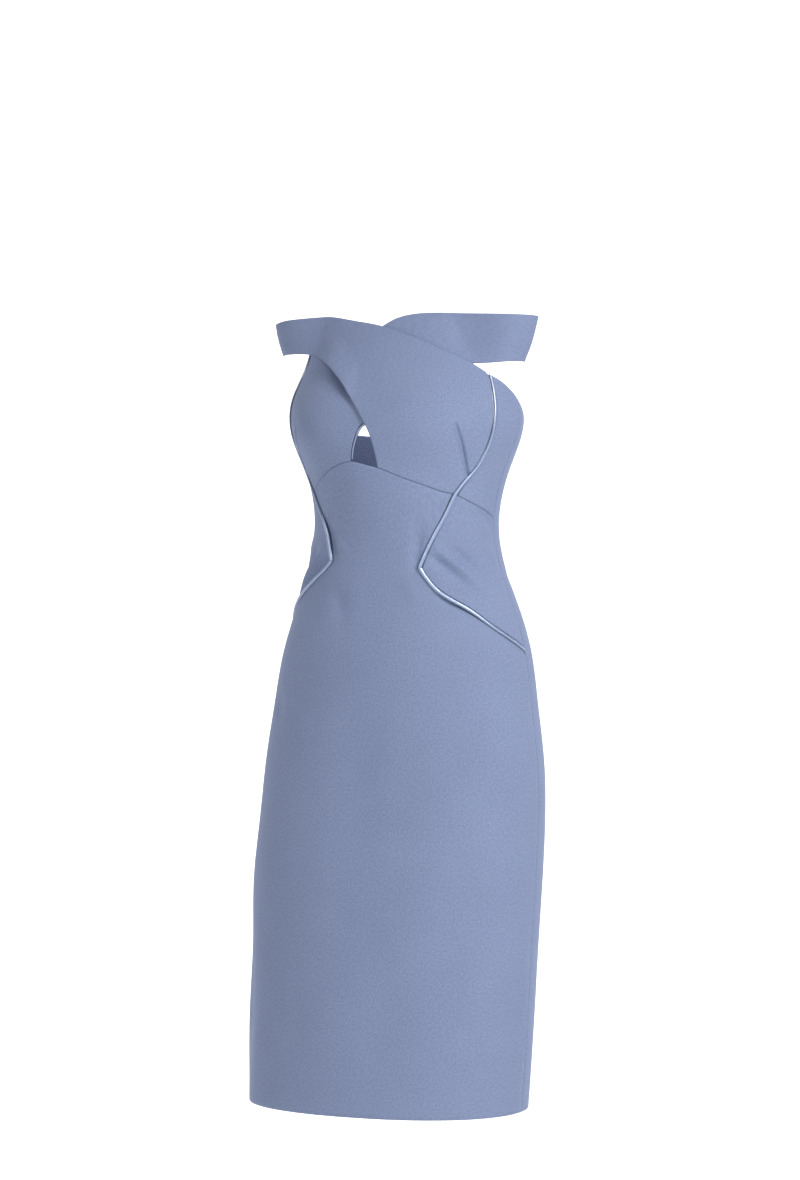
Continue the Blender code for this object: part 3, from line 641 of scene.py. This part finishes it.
def shares(breaks):
    """Shares from 0 to 1 in even steps between breaks; each row is the share at its end and its steps."""
    listed = [0.0]
    for end, count in breaks:
        start = listed[-1]
        listed += [start + (end - start) * i / count for i in range(1, count + 1)]
    return listed


def with_round_edges(listed, length):
    """Adds shares close to each end, where the cloth turns over its edge."""
    ends = [distance / length for distance, turn in EDGE_TURN]
    between = [share for share in listed if ends[-1] * 1.5 < share < 1.0 - ends[-1] * 1.5]
    return ends + between + [1.0 - share for share in reversed(ends)]


# Meshes

def object_from(name, vertices, faces, uv=None, material=None):
    mesh = bpy.data.meshes.new(name)
    mesh.from_pydata([tuple(v) for v in vertices], [], faces)
    mesh.update()
    if uv is not None:
        layer = mesh.uv_layers.new(name="cut")
        corners = np.empty(len(mesh.loops), dtype=np.int32)
        mesh.loops.foreach_get("vertex_index", corners)
        layer.data.foreach_set("uv", uv[corners].astype(np.float32).ravel())
    mesh.shade_smooth()
    made = bpy.data.objects.new(name, mesh)
    bpy.context.scene.collection.objects.link(made)
    if material:
        mesh.materials.append(material)
    return made


def shell_faces(high, wide):
    """Faces of two grids of points, outer and inner, and of the edge strips that close them."""
    count = high * wide
    last_row = high - 1
    last_column = wide - 1
    faces = []
    for row in range(last_row):
        for column in range(last_column):
            a = row * wide + column
            faces.append((a, a + 1, a + wide + 1, a + wide))
            faces.append((count + a, count + a + wide, count + a + wide + 1, count + a + 1))
    for column in range(last_column):
        low = column
        top = last_row * wide + column
        faces.append((low, low + count, low + count + 1, low + 1))
        faces.append((top, top + 1, top + 1 + count, top + count))
    for row in range(last_row):
        left = row * wide
        right = row * wide + last_column
        faces.append((left, left + wide, left + wide + count, left + count))
        faces.append((right, right + count, right + wide + count, right + wide))
    return faces


def cloth_shell(name, chart, shares_across, shares_up, insets, material, end_side=0.0, lift=None, relief=()):
    """A thin shell of cloth on the form, with its seams drawn in, its edges turned over and its creases."""
    left_inset, right_inset, bottom_inset, top_inset = insets
    step = 1e-4

    def places(pairs):
        listed = np.array([chart(a, b) for a, b in pairs])
        return listed[:, 0], listed[:, 1]

    def surface(pairs):
        angle, height = places(pairs)
        points = form_points(angle, height, end_side)
        if lift:
            points = points + form_normals(angle, height, end_side) * lift(angle, height)[:, None]
        return points

    rough = surface([(0.5, b) for b in np.linspace(0, 1, 30)])
    length = np.linalg.norm(np.diff(rough, axis=0), axis=1).sum()
    rough = surface([(a, 0.5) for a in np.linspace(0, 1, 30)])
    width = np.linalg.norm(np.diff(rough, axis=0), axis=1).sum()
    columns = with_round_edges(shares_across, width)
    rows = with_round_edges(shares_up, length)
    last_column = len(columns) - 1
    last_row = len(rows) - 1
    turns = len(EDGE_TURN)
    grid = [(a, b) for b in rows for a in columns]
    moved = list(grid)
    edge_cells = []
    for index, (across, up) in enumerate(grid):
        column = index % len(columns)
        row = index // len(columns)
        side = left_inset(up) if column < turns else right_inset(up) if column > last_column - turns else 0.0
        end = bottom_inset(across) if row < turns else top_inset(across) if row > last_row - turns else 0.0
        if side or end:
            edge_cells.append((index, side, end, column < turns, row < turns))
    if edge_cells:
        base = [grid[cell[0]] for cell in edge_cells]
        base = [(min(max(a, step), 1 - step), min(max(b, step), 1 - step)) for a, b in base]
        ahead = surface([(a + step, b) for a, b in base])
        along = (ahead - surface([(a - step, b) for a, b in base])) / (2 * step)
        shift_across = np.zeros(len(base))
        shift_up = np.zeros(len(base))
        here = surface(base)
        for lean in (-step, step):
            upward = (surface([(a, b + lean) for a, b in base]) - here) / lean
            area = np.linalg.norm(np.cross(along, upward), axis=1)
            sides = np.array([cell[1] for cell in edge_cells])
            ends = np.array([cell[2] for cell in edge_cells])
            shift_across = np.maximum(shift_across, sides * np.linalg.norm(upward, axis=1) / area)
            shift_up = np.maximum(shift_up, ends * np.linalg.norm(along, axis=1) / area)
        for (index, side, end, is_left, is_low), move_a, move_b in zip(edge_cells, shift_across, shift_up):
            across, up = grid[index]
            moved[index] = (across + (move_a if is_left else -move_a), up + (move_b if is_low else -move_b))
    angle, height = places(moved)
    middle = form_points(angle, height, end_side)
    normal = form_normals(angle, height, end_side)
    rise = lift(angle, height) if lift else np.zeros(len(angle))
    for part in relief:
        rise = rise + part(angle, height)
    shape = (len(rows), len(columns))
    turned = np.zeros(shape)
    for ring, (distance, turn) in enumerate(EDGE_TURN):
        row_ends = [ring, last_row - ring]
        column_ends = [ring, last_column - ring]
        turned[row_ends, :] = np.maximum(turned[row_ends, :], turn)
        turned[:, column_ends] = np.maximum(turned[:, column_ends], turn)
    turned = turned.ravel()
    outer = middle + normal * (rise - WALL * turned)[:, None]
    inner = middle + normal * (rise - WALL * (1.0 - turned))[:, None]
    vertices = np.concatenate([outer, inner])
    faces = shell_faces(len(rows), len(columns))
    wide = len(columns)
    places_3d = outer.reshape(len(rows), wide, 3)
    run_across = np.zeros(shape)
    run_across[:, 1:] = np.cumsum(np.linalg.norm(np.diff(places_3d, axis=1), axis=2), axis=1)
    run_across -= run_across[:, wide // 2][:, None]
    run_up = np.zeros(shape)
    run_up[1:, :] = np.cumsum(np.linalg.norm(np.diff(places_3d, axis=0), axis=2), axis=0)
    flat = np.stack([run_across.ravel(), run_up.ravel()], axis=1)
    outward = np.cross(places_3d[0, 1] - places_3d[0, 0], places_3d[1, 0] - places_3d[0, 0])
    if np.dot(outward, normal[0]) < 0:
        faces = [tuple(reversed(face)) for face in faces]
    made = object_from(name, vertices, faces, np.concatenate([flat, flat]), material)
    made["cut_width"] = float((run_across.max(axis=1) - run_across.min(axis=1)).max())
    made["cut_length"] = float(run_up.max())
    triangles = np.cross(places_3d[1:, :-1] - places_3d[:-1, :-1], places_3d[:-1, 1:] - places_3d[:-1, :-1])
    made["cut_area"] = float(np.linalg.norm(triangles, axis=2).sum())
    return made


def free_edge(part):
    return 0.0


def seam_edge(part):
    return SEAM_INSET


def beside_piping(curve):
    """How far a cloth edge is drawn in along the piping that runs on its curve."""
    return lambda part: float(piping_radius_at(curve(part)[1])) + PIPING_CLEARANCE


def keyhole_edge(part):
    return KEYHOLE_PIPING_RADIUS + PIPING_CLEARANCE if part < KEYHOLE_PIPING_SHARE + 0.04 else 0.0


# Pieces of cloth

def panel_side(lines):
    """A side edge of the front panel: hem to hip, piping to the waist corner, up to the under-bust seam."""
    hem_to_hip = straight_edge((SIDE_ANGLE, HEM_HEIGHT), lines["hip_end"])
    hip = reversed_curve(lines["hip"])
    return remembered(joined([(SKIRT_SHARE, hem_to_hip), (WAIST_SHARE, hip), (1.0, lines["waist"])]))


def front_panel(material):
    right_edge = panel_side(RIGHT)
    left_edge = panel_side(LEFT)
    first_top = -SEAM_CROSSING_ANGLE_RIGHT
    top_span = SEAM_CROSSING_ANGLE_LEFT - first_top

    def chart(across, up):
        right_angle, right_height = right_edge(up)
        left_angle, left_height = left_edge(up)
        last_top = SEAM_CROSSING_ANGLE_LEFT
        level = under_bust_height(first_top) * (1.0 - across) + under_bust_height(last_top) * across
        rise = under_bust_height(first_top + top_span * across) - level
        above_waist = max(up - WAIST_SHARE, 0.0) / (1.0 - WAIST_SHARE)
        angle = (left_angle + right_angle) * across - right_angle
        height = right_height * (1.0 - across) + left_height * across + rise * above_waist ** 2
        return np.array([angle, height])

    def side_inset(part):
        return SEAM_INSET if part < SKIRT_SHARE - 1e-6 else beside_piping(left_edge)(part)

    up = shares([(SKIRT_SHARE, 100), (WAIST_SHARE, 40), (1.0, 34)])
    insets = (side_inset, side_inset, free_edge, seam_edge)
    return cloth_shell("front_panel_cloth", chart, shares([(1.0, 84)]), up, insets, material,
                       relief=[creases(PANEL_CREASES)])


def side_hip(name, lines, material):
    right = straight_edge(lines["hip_end"], (SIDE_ANGLE, UNDER_BUST_SEAM[-1][1]))
    chart = on_its_side(edge_patch(lines["hip"], lines["under_bust"], lines["waist"], right), lines)
    insets = (beside_piping(lines["waist"]), seam_edge, beside_piping(lines["hip"]), seam_edge)
    return cloth_shell(name, chart, shares([(1.0, 52)]), shares([(1.0, 52)]), insets, material,
                       relief=[creases(HIP_CREASES, lines["side"])])


def side_bodice(name, lines, material):
    right = straight_edge((SIDE_ANGLE, UNDER_BUST_SEAM[-1][1]), (SIDE_ANGLE, back_top_height(SIDE_ANGLE)))
    chart = on_its_side(edge_patch(lines["under_bust"], lines["top_edge"], lines["top"], right), lines)
    insets = (beside_piping(lines["top"]), seam_edge, seam_edge, free_edge)
    return cloth_shell(name, chart, shares([(1.0, 24)]), shares([(1.0, 42)]), insets, material)


def back_half(name, lines, material):
    side_top = back_top_height(SIDE_ANGLE)

    def top(part):
        angle = SIDE_ANGLE + (180.0 - SIDE_ANGLE) * part
        return np.array([angle, float(back_top_height(angle))])

    bottom = straight_edge((SIDE_ANGLE, HEM_HEIGHT), (180.0, HEM_HEIGHT))
    left = straight_edge((SIDE_ANGLE, HEM_HEIGHT), (SIDE_ANGLE, side_top))
    right = straight_edge((180.0, HEM_HEIGHT), (180.0, SIDE_TOP_EDGE[-1][1]))
    chart = on_its_side(edge_patch(bottom, remembered(top), left, right), lines)
    insets = (seam_edge, seam_edge, free_edge, free_edge)
    return cloth_shell(name, chart, shares([(1.0, 52)]), shares([(1.0, 180)]), insets, material,
                       relief=[creases(BACK_CREASES, lines["side"])])


def crossed_band(name, lines, inner_table, top_table, lift, edge_inset, material):
    inner = remembered(chart_curve(inner_table))
    outer = remembered(joined([(BAND_CORNER, lines["top"]), (1.0, chart_curve(top_table))]))
    free_end = straight_edge(inner_table[-1], top_table[-1])
    chart = on_its_side(edge_patch(lines["under_cup"], free_end, inner, outer), lines)

    def outer_inset(part):
        return beside_piping(outer)(part) if part < BAND_CORNER + 1e-6 else 0.0

    insets = (edge_inset, outer_inset, seam_edge, free_edge)
    columns = shares([(0.40, 24), (1.0, 88)])
    rows = shares([(BAND_CORNER, 116), (1.0, 84)])
    return cloth_shell(name, chart, columns, rows, insets, material, -lines["side"], lift,
                       [dart_relief(lines["side"])])


# Materials

def linear(hex_colour):
    """Linear colour from an sRGB hex one."""
    channels = [int(hex_colour[i:i + 2], 16) / 255.0 for i in (1, 3, 5)]
    return tuple(c / 12.92 if c <= 0.04045 else ((c + 0.055) / 1.055) ** 2.4 for c in channels) + (1.0,)


def add_node(tree, kind, inputs=(), **settings):
    """A node with its settings, and its inputs set to values or linked to other nodes' outputs."""
    made = tree.nodes.new(kind)
    for key, value in settings.items():
        setattr(made, key, value)
    for socket, value in dict(inputs).items():
        if isinstance(value, bpy.types.NodeSocket):
            tree.links.new(value, made.inputs[socket])
        else:
            made.inputs[socket].default_value = value
    return made


def new_material(name, shader_inputs):
    made = bpy.data.materials.new(name)
    made.use_nodes = True
    tree = made.node_tree
    shader = tree.nodes["Principled BSDF"]
    for socket, value in shader_inputs.items():
        shader.inputs[socket].default_value = value
    return made, tree, shader


def crepe_material(name, light, dark, seed):
    """High-twist crepe: springy yarns crinkle the face to a dry pebble, with no gloss, only a soft bloom."""
    made, tree, shader = new_material(name, {
        "Roughness": 0.86,
        "Specular IOR Level": 0.28,
        "Sheen Weight": 0.22,
        "Sheen Roughness": 0.45,
        "Sheen Tint": linear("#C3CDE6"),
    })
    cut = add_node(tree, "ShaderNodeUVMap", uv_map="cut")
    # The pebble is about 0.9 mm on the cloth, drawn 2.5 times coarser so that it shows from a step away
    pebble = add_node(tree, "ShaderNodeTexNoise", {
        "Vector": cut.outputs["UV"], "Scale": 430.0, "Detail": 3.0, "Roughness": 0.62, "W": seed,
    }, noise_dimensions="4D")
    across_yarns = add_node(tree, "ShaderNodeMapping", {
        "Vector": cut.outputs["UV"], "Scale": (1450.0, 420.0, 1.0),
    })
    crinkle = add_node(tree, "ShaderNodeTexNoise", {
        "Vector": across_yarns.outputs["Vector"], "Scale": 1.0, "Detail": 2.0, "Roughness": 0.5,
        "W": seed + 3.0,
    }, noise_dimensions="4D")
    grain = add_node(tree, "ShaderNodeMix", {
        0: 0.35, 2: pebble.outputs["Fac"], 3: crinkle.outputs["Fac"],
    }, data_type="FLOAT")
    # Broad, faint unevenness of a piece-dyed cloth
    body = add_node(tree, "ShaderNodeTexCoord")
    mottle = add_node(tree, "ShaderNodeTexNoise", {
        "Vector": body.outputs["Object"], "Scale": 14.0, "Detail": 3.0, "Roughness": 0.55, "W": seed,
    }, noise_dimensions="4D")
    tone = add_node(tree, "ShaderNodeMix", {
        0: 0.10, 2: grain.outputs[0], 3: mottle.outputs["Fac"],
    }, data_type="FLOAT")
    spread = add_node(tree, "ShaderNodeMapRange", {
        "Value": tone.outputs[0], "From Min": 0.34, "From Max": 0.66, "To Min": 0.0, "To Max": 1.0,
    })
    colour = add_node(tree, "ShaderNodeMix", {
        0: spread.outputs["Result"], 6: linear(dark), 7: linear(light),
    }, data_type="RGBA")
    tree.links.new(colour.outputs[2], shader.inputs["Base Color"])
    bump = add_node(tree, "ShaderNodeBump", {
        "Strength": 0.80, "Distance": 0.00036, "Height": grain.outputs[0],
    })
    tree.links.new(bump.outputs["Normal"], shader.inputs["Normal"])
    return made


def satin_material(name):
    """Polyester satin cut on the bias over a cord: long floats give a bright line, the turns pull fine ribs."""
    made, tree, shader = new_material(name, {
        "Roughness": 0.33,
        "IOR": 2.5,
        "Specular IOR Level": 1.0,
        "Specular Tint": linear("#D9E5FB"),
    })
    body = add_node(tree, "ShaderNodeTexCoord")
    # Bias ribs about 1.2 mm apart, as the strip is pulled round the cord
    ribs = add_node(tree, "ShaderNodeTexWave", {
        "Vector": body.outputs["Object"], "Scale": 210.0, "Distortion": 2.2, "Detail": 1.0,
        "Detail Scale": 1.0,
    }, bands_direction="DIAGONAL")
    colour = add_node(tree, "ShaderNodeMix", {
        0: ribs.outputs["Fac"], 6: linear("#8297C6"), 7: linear("#AFC2E9"),
    }, data_type="RGBA")
    # Painted shade: at the cord's sides, where the strip turns down into the seam, the colour is darkened to
    # navy to stand for the shade it lies in there
    crown = add_node(tree, "ShaderNodeAttribute", attribute_name="crown")
    turn = add_node(tree, "ShaderNodeMapRange", {
        "Value": crown.outputs["Fac"], "From Min": 0.55, "From Max": 0.95, "To Min": 0.0, "To Max": 1.0,
    })
    painted_shade_colour = add_node(tree, "ShaderNodeMix", {
        0: turn.outputs["Result"], 6: linear("#1E2845"), 7: colour.outputs[2],
    }, data_type="RGBA")
    tree.links.new(painted_shade_colour.outputs[2], shader.inputs["Base Color"])
    bump = add_node(tree, "ShaderNodeBump", {
        "Strength": 0.35, "Distance": 0.00012, "Height": ribs.outputs["Fac"],
    })
    tree.links.new(bump.outputs["Normal"], shader.inputs["Normal"])
    return made


def enamel_material(name):
    """Die-cast zip parts, baked enamel in the dress colour: an even film with a faint orange peel."""
    made, tree, shader = new_material(name, {
        "Roughness": 0.34,
        "Specular IOR Level": 0.5,
        "Coat Weight": 0.4,
        "Coat Roughness": 0.12,
    })
    body = add_node(tree, "ShaderNodeTexCoord")
    peel = add_node(tree, "ShaderNodeTexNoise", {
        "Vector": body.outputs["Object"], "Scale": 1500.0, "Detail": 2.0, "W": 4.0,
    }, noise_dimensions="4D")
    colour = add_node(tree, "ShaderNodeMix", {
        0: peel.outputs["Fac"], 6: linear("#6F7B9E"), 7: linear("#7C88AB"),
    }, data_type="RGBA")
    tree.links.new(colour.outputs[2], shader.inputs["Base Color"])
    bump = add_node(tree, "ShaderNodeBump", {
        "Strength": 0.2, "Distance": 0.00004, "Height": peel.outputs["Fac"],
    })
    tree.links.new(bump.outputs["Normal"], shader.inputs["Normal"])
    return made


def plain_material(name, colour, roughness):
    made, tree, shader = new_material(name, {"Roughness": roughness, "Base Color": linear(colour)})
    return made


# Piping cords, grown along their paths

def cord_tree(material):
    """Follows a line of points with a satin-covered cord, a little uneven in thickness."""
    tree = bpy.data.node_groups.new("covered cord", "GeometryNodeTree")
    tree.interface.new_socket("Geometry", in_out="INPUT", socket_type="NodeSocketGeometry")
    tree.interface.new_socket("Geometry", in_out="OUTPUT", socket_type="NodeSocketGeometry")
    for size in ("Radius", "Step", "Unevenness", "Seed"):
        tree.interface.new_socket(size, in_out="INPUT", socket_type="NodeSocketFloat")
    given = add_node(tree, "NodeGroupInput")
    line = add_node(tree, "GeometryNodeMeshToCurve", {"Mesh": given.outputs["Geometry"]})
    even = add_node(tree, "GeometryNodeResampleCurve", {
        "Curve": line.outputs["Curve"], "Length": given.outputs["Step"],
    }, mode="LENGTH")
    noise = add_node(tree, "ShaderNodeTexNoise", {
        "W": given.outputs["Seed"], "Scale": 130.0, "Detail": 1.0,
    }, noise_dimensions="4D")
    centred = add_node(tree, "ShaderNodeMath", {0: noise.outputs["Fac"], 1: 0.5}, operation="SUBTRACT")
    swell = add_node(tree, "ShaderNodeMath", {
        0: centred.outputs[0], 1: given.outputs["Unevenness"], 2: 1.0,
    }, operation="MULTIPLY_ADD")
    share = add_node(tree, "GeometryNodeInputNamedAttribute", {"Name": "width_share"}, data_type="FLOAT")
    width = add_node(tree, "ShaderNodeMath", {
        0: share.outputs["Attribute"], 1: swell.outputs[0],
    }, operation="MULTIPLY")
    ring = add_node(tree, "GeometryNodeCurvePrimitiveCircle", {
        "Resolution": CORD_SIDES, "Radius": given.outputs["Radius"],
    })
    tube = add_node(tree, "GeometryNodeCurveToMesh", {
        "Curve": even.outputs["Curve"], "Profile Curve": ring.outputs["Curve"],
        "Scale": width.outputs[0], "Fill Caps": True,
    })
    real = add_node(tree, "GeometryNodeRealizeInstances", {"Geometry": tube.outputs["Mesh"]})
    dressed = add_node(tree, "GeometryNodeSetMaterial", {
        "Geometry": real.outputs["Geometry"], "Material": material,
    })
    add_node(tree, "NodeGroupOutput", {"Geometry": dressed.outputs["Geometry"]})
    return tree


def finished_mesh(made):
    """Turns an object's modifiers into its plain mesh."""
    bpy.context.view_layer.update()
    graph = bpy.context.evaluated_depsgraph_get()
    mesh = bpy.data.meshes.new_from_object(made.evaluated_get(graph))
    made.modifiers.clear()
    made.data = mesh
    mesh.shade_smooth()
    return made


def mark_crown(mesh, path, outward, radii):
    """Marks each place on a cord: 1 at its crown, 0 at its sides and less where it is sunk in the seam; the
    satin darkens its colour by this mark as painted shade.
    """
    places = np.empty(len(mesh.vertices) * 3)
    mesh.vertices.foreach_get("co", places)
    places = places.reshape(-1, 3)
    nearest = np.linalg.norm(places[:, None] - path[None], axis=2).argmin(axis=1)
    raised = ((places - path[nearest]) * outward[nearest]).sum(axis=1) / radii[nearest]
    mesh.attributes.new("crown", "FLOAT", "POINT").data.foreach_set("value", raised)


def cord_piece(name, tree, pieces, sign, radius_at, sink, seed):
    """A cord along several chart curves; each row is the curve and the shares that it runs between."""
    listed = []
    for curve, start, end in pieces:
        parts = np.linspace(start, end, CURVE_POINTS)
        listed += [curve(part) for part in parts[1 if listed else 0:]]
    angle = np.array([place[0] for place in listed]) * sign
    height = np.array([place[1] for place in listed])
    points = form_points(angle, height) - form_normals(angle, height) * sink
    mesh = bpy.data.meshes.new(name)
    mesh.from_pydata([tuple(p) for p in points], [(i, i + 1) for i in range(len(points) - 1)], [])
    radii = radius_at(height) + 0.0 * height
    widest = float(radii.max())
    mesh.attributes.new("width_share", "FLOAT", "POINT").data.foreach_set("value", radii / widest)
    made = bpy.data.objects.new(name, mesh)
    bpy.context.scene.collection.objects.link(made)
    grown = made.modifiers.new("covered cord", "NODES")
    grown.node_group = tree
    sizes = {"Radius": widest, "Step": CORD_STEP, "Unevenness": CORD_UNEVENNESS, "Seed": seed}
    for item in tree.interface.items_tree:
        if item.name in sizes:
            grown[item.identifier] = float(sizes[item.name])
    finished_mesh(made)
    # The crown mark sets where the satin's painted shade darkens the cord's sides
    mark_crown(made.data, points, form_normals(angle, height), radii)
    return made


# The dress

crepe = crepe_material("crepe, high-twist weave, steamed flat", "#95A3C5", "#7682A4", 2.0)
satin = satin_material("satin, bias strip pulled over cord")
enamel = enamel_material("zinc die casting, baked enamel")

cloth_pieces = [
    front_panel(crepe),
    crossed_band("cross_band_front_cloth", LEFT, FRONT_INNER_EDGE, FRONT_TOP_EDGE, lift_of_outer_band,
                 free_edge, crepe),
    crossed_band("cross_band_rear_cloth", RIGHT, REAR_INNER_EDGE, REAR_TOP_EDGE, fall_of_inner_band,
                 keyhole_edge, crepe),
]
cord = cord_tree(satin)
cords = []
for side, lines, seed in (("left", LEFT, 1.0), ("right", RIGHT, 5.0)):
    cloth_pieces.append(side_bodice("side_bodice_" + side + "_cloth", lines, crepe))
    cloth_pieces.append(side_hip("side_hip_" + side + "_cloth", lines, crepe))
    cloth_pieces.append(back_half("back_" + side + "_cloth", lines, crepe))
    path = [
        (reversed_curve(lines["top"]), PIPING_START, 1.0),
        (reversed_curve(lines["waist"]), 0.0, 1.0),
        (lines["hip"], 0.0, PIPING_END),
    ]
    name = "piping_" + side + "_cord"
    cords.append(cord_piece(name, cord, path, lines["side"], piping_radius_at, 0.0, seed))
keyhole_path = [(mirrored_curve(chart_curve(REAR_INNER_EDGE)), KEYHOLE_PIPING_START, KEYHOLE_PIPING_SHARE)]
cords.append(cord_piece("keyhole_piping_cord", cord, keyhole_path, 1.0, lambda height: KEYHOLE_PIPING_RADIUS,
                        KEYHOLE_PIPING_SINK, 9.0))

for made in cloth_pieces:
    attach(made, "dress")
    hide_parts(made.name.removesuffix("_cloth"))
    width, length, area = (made.pop(key) for key in ("cut_width", "cut_length", "cut_area"))
for made in cords:
    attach(made, "dress")
    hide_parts(made.name.removesuffix("_cord"))
for kept in bpy.data.objects:
    if kept.name in ("zip_slider", "zip_pull"):
        for material_slot in kept.material_slots:
            material_slot.material = enamel


# Studio

floor_material = plain_material("studio paper, matte", "#F6F6F6", 0.9)
sweep = [(-3.2, -1.30), (3.0, -1.30)]
for step in range(1, 13):
    turn = math.radians(90.0 * step / 12.0)
    sweep.append((3.0 + 2.0 * math.sin(turn), 0.70 - 2.0 * math.cos(turn)))
sweep.append((5.0, 5.5))
turn = math.radians(VIEW_AZIMUTH)
vertices = []
for away, height in sweep:
    for across in (-7.0, 7.0):
        vertices.append((across * math.cos(turn) - away * math.sin(turn),
                         across * math.sin(turn) + away * math.cos(turn), height))
faces = [(2 * i, 2 * i + 1, 2 * i + 3, 2 * i + 2) for i in range(len(sweep) - 1)]
floor = object_from("studio_sweep", vertices, faces, material=floor_material)


def soft_light(name, azimuth, height, distance, size, power, aim_distance=0.0, aim_height=-0.3):
    """A square soft box; its azimuth and the place that it faces are measured like the camera's."""
    lamp = bpy.data.lights.new(name, "AREA")
    lamp.shape = "SQUARE"
    lamp.size = size
    lamp.energy = power
    made = bpy.data.objects.new(name, lamp)
    bpy.context.scene.collection.objects.link(made)
    around = math.radians(azimuth)
    made.location = (math.sin(around) * distance, -math.cos(around) * distance, height)
    level = math.atan2(height - aim_height, distance - aim_distance)
    made.rotation_euler = (math.pi / 2.0 - level, 0.0, around)
    return made


soft_light("key_soft_box", 66.0, 1.7, 3.0, 1.2, 86.0)
soft_light("front_fill", 2.0, 1.2, 3.8, 1.4, 39.0)
soft_light("background_light_left", VIEW_AZIMUTH + 180.0 - 40.0, 2.4, 1.8, 2.0, 175.0, 6.0, -1.2)
soft_light("background_light_right", VIEW_AZIMUTH + 180.0 + 40.0, 2.4, 1.8, 2.0, 175.0, 6.0, -1.2)

world = bpy.data.worlds.new("white studio")
world.use_nodes = True
world.node_tree.nodes["Background"].inputs["Color"].default_value = (1.0, 1.0, 1.0, 1.0)
world.node_tree.nodes["Background"].inputs["Strength"].default_value = 0.20
bpy.context.scene.world = world
bpy.context.scene.view_settings.view_transform = "Standard"

# Camera at the photograph's distance, height and angle
around = math.radians(VIEW_AZIMUTH)
lens = bpy.data.cameras.new("photo_view")
lens.sensor_fit = "VERTICAL"
lens.sensor_height = 36.0
lens.lens = VIEW_LENS
camera = bpy.data.objects.new("photo_view", lens)
camera.location = (math.sin(around) * VIEW_DISTANCE + math.cos(around) * VIEW_SIDE_STEP,
                   -math.cos(around) * VIEW_DISTANCE + math.sin(around) * VIEW_SIDE_STEP, VIEW_HEIGHT)
camera.rotation_euler = (math.pi / 2.0, 0.0, around)
bpy.context.scene.collection.objects.link(camera)
bpy.context.scene.camera = camera
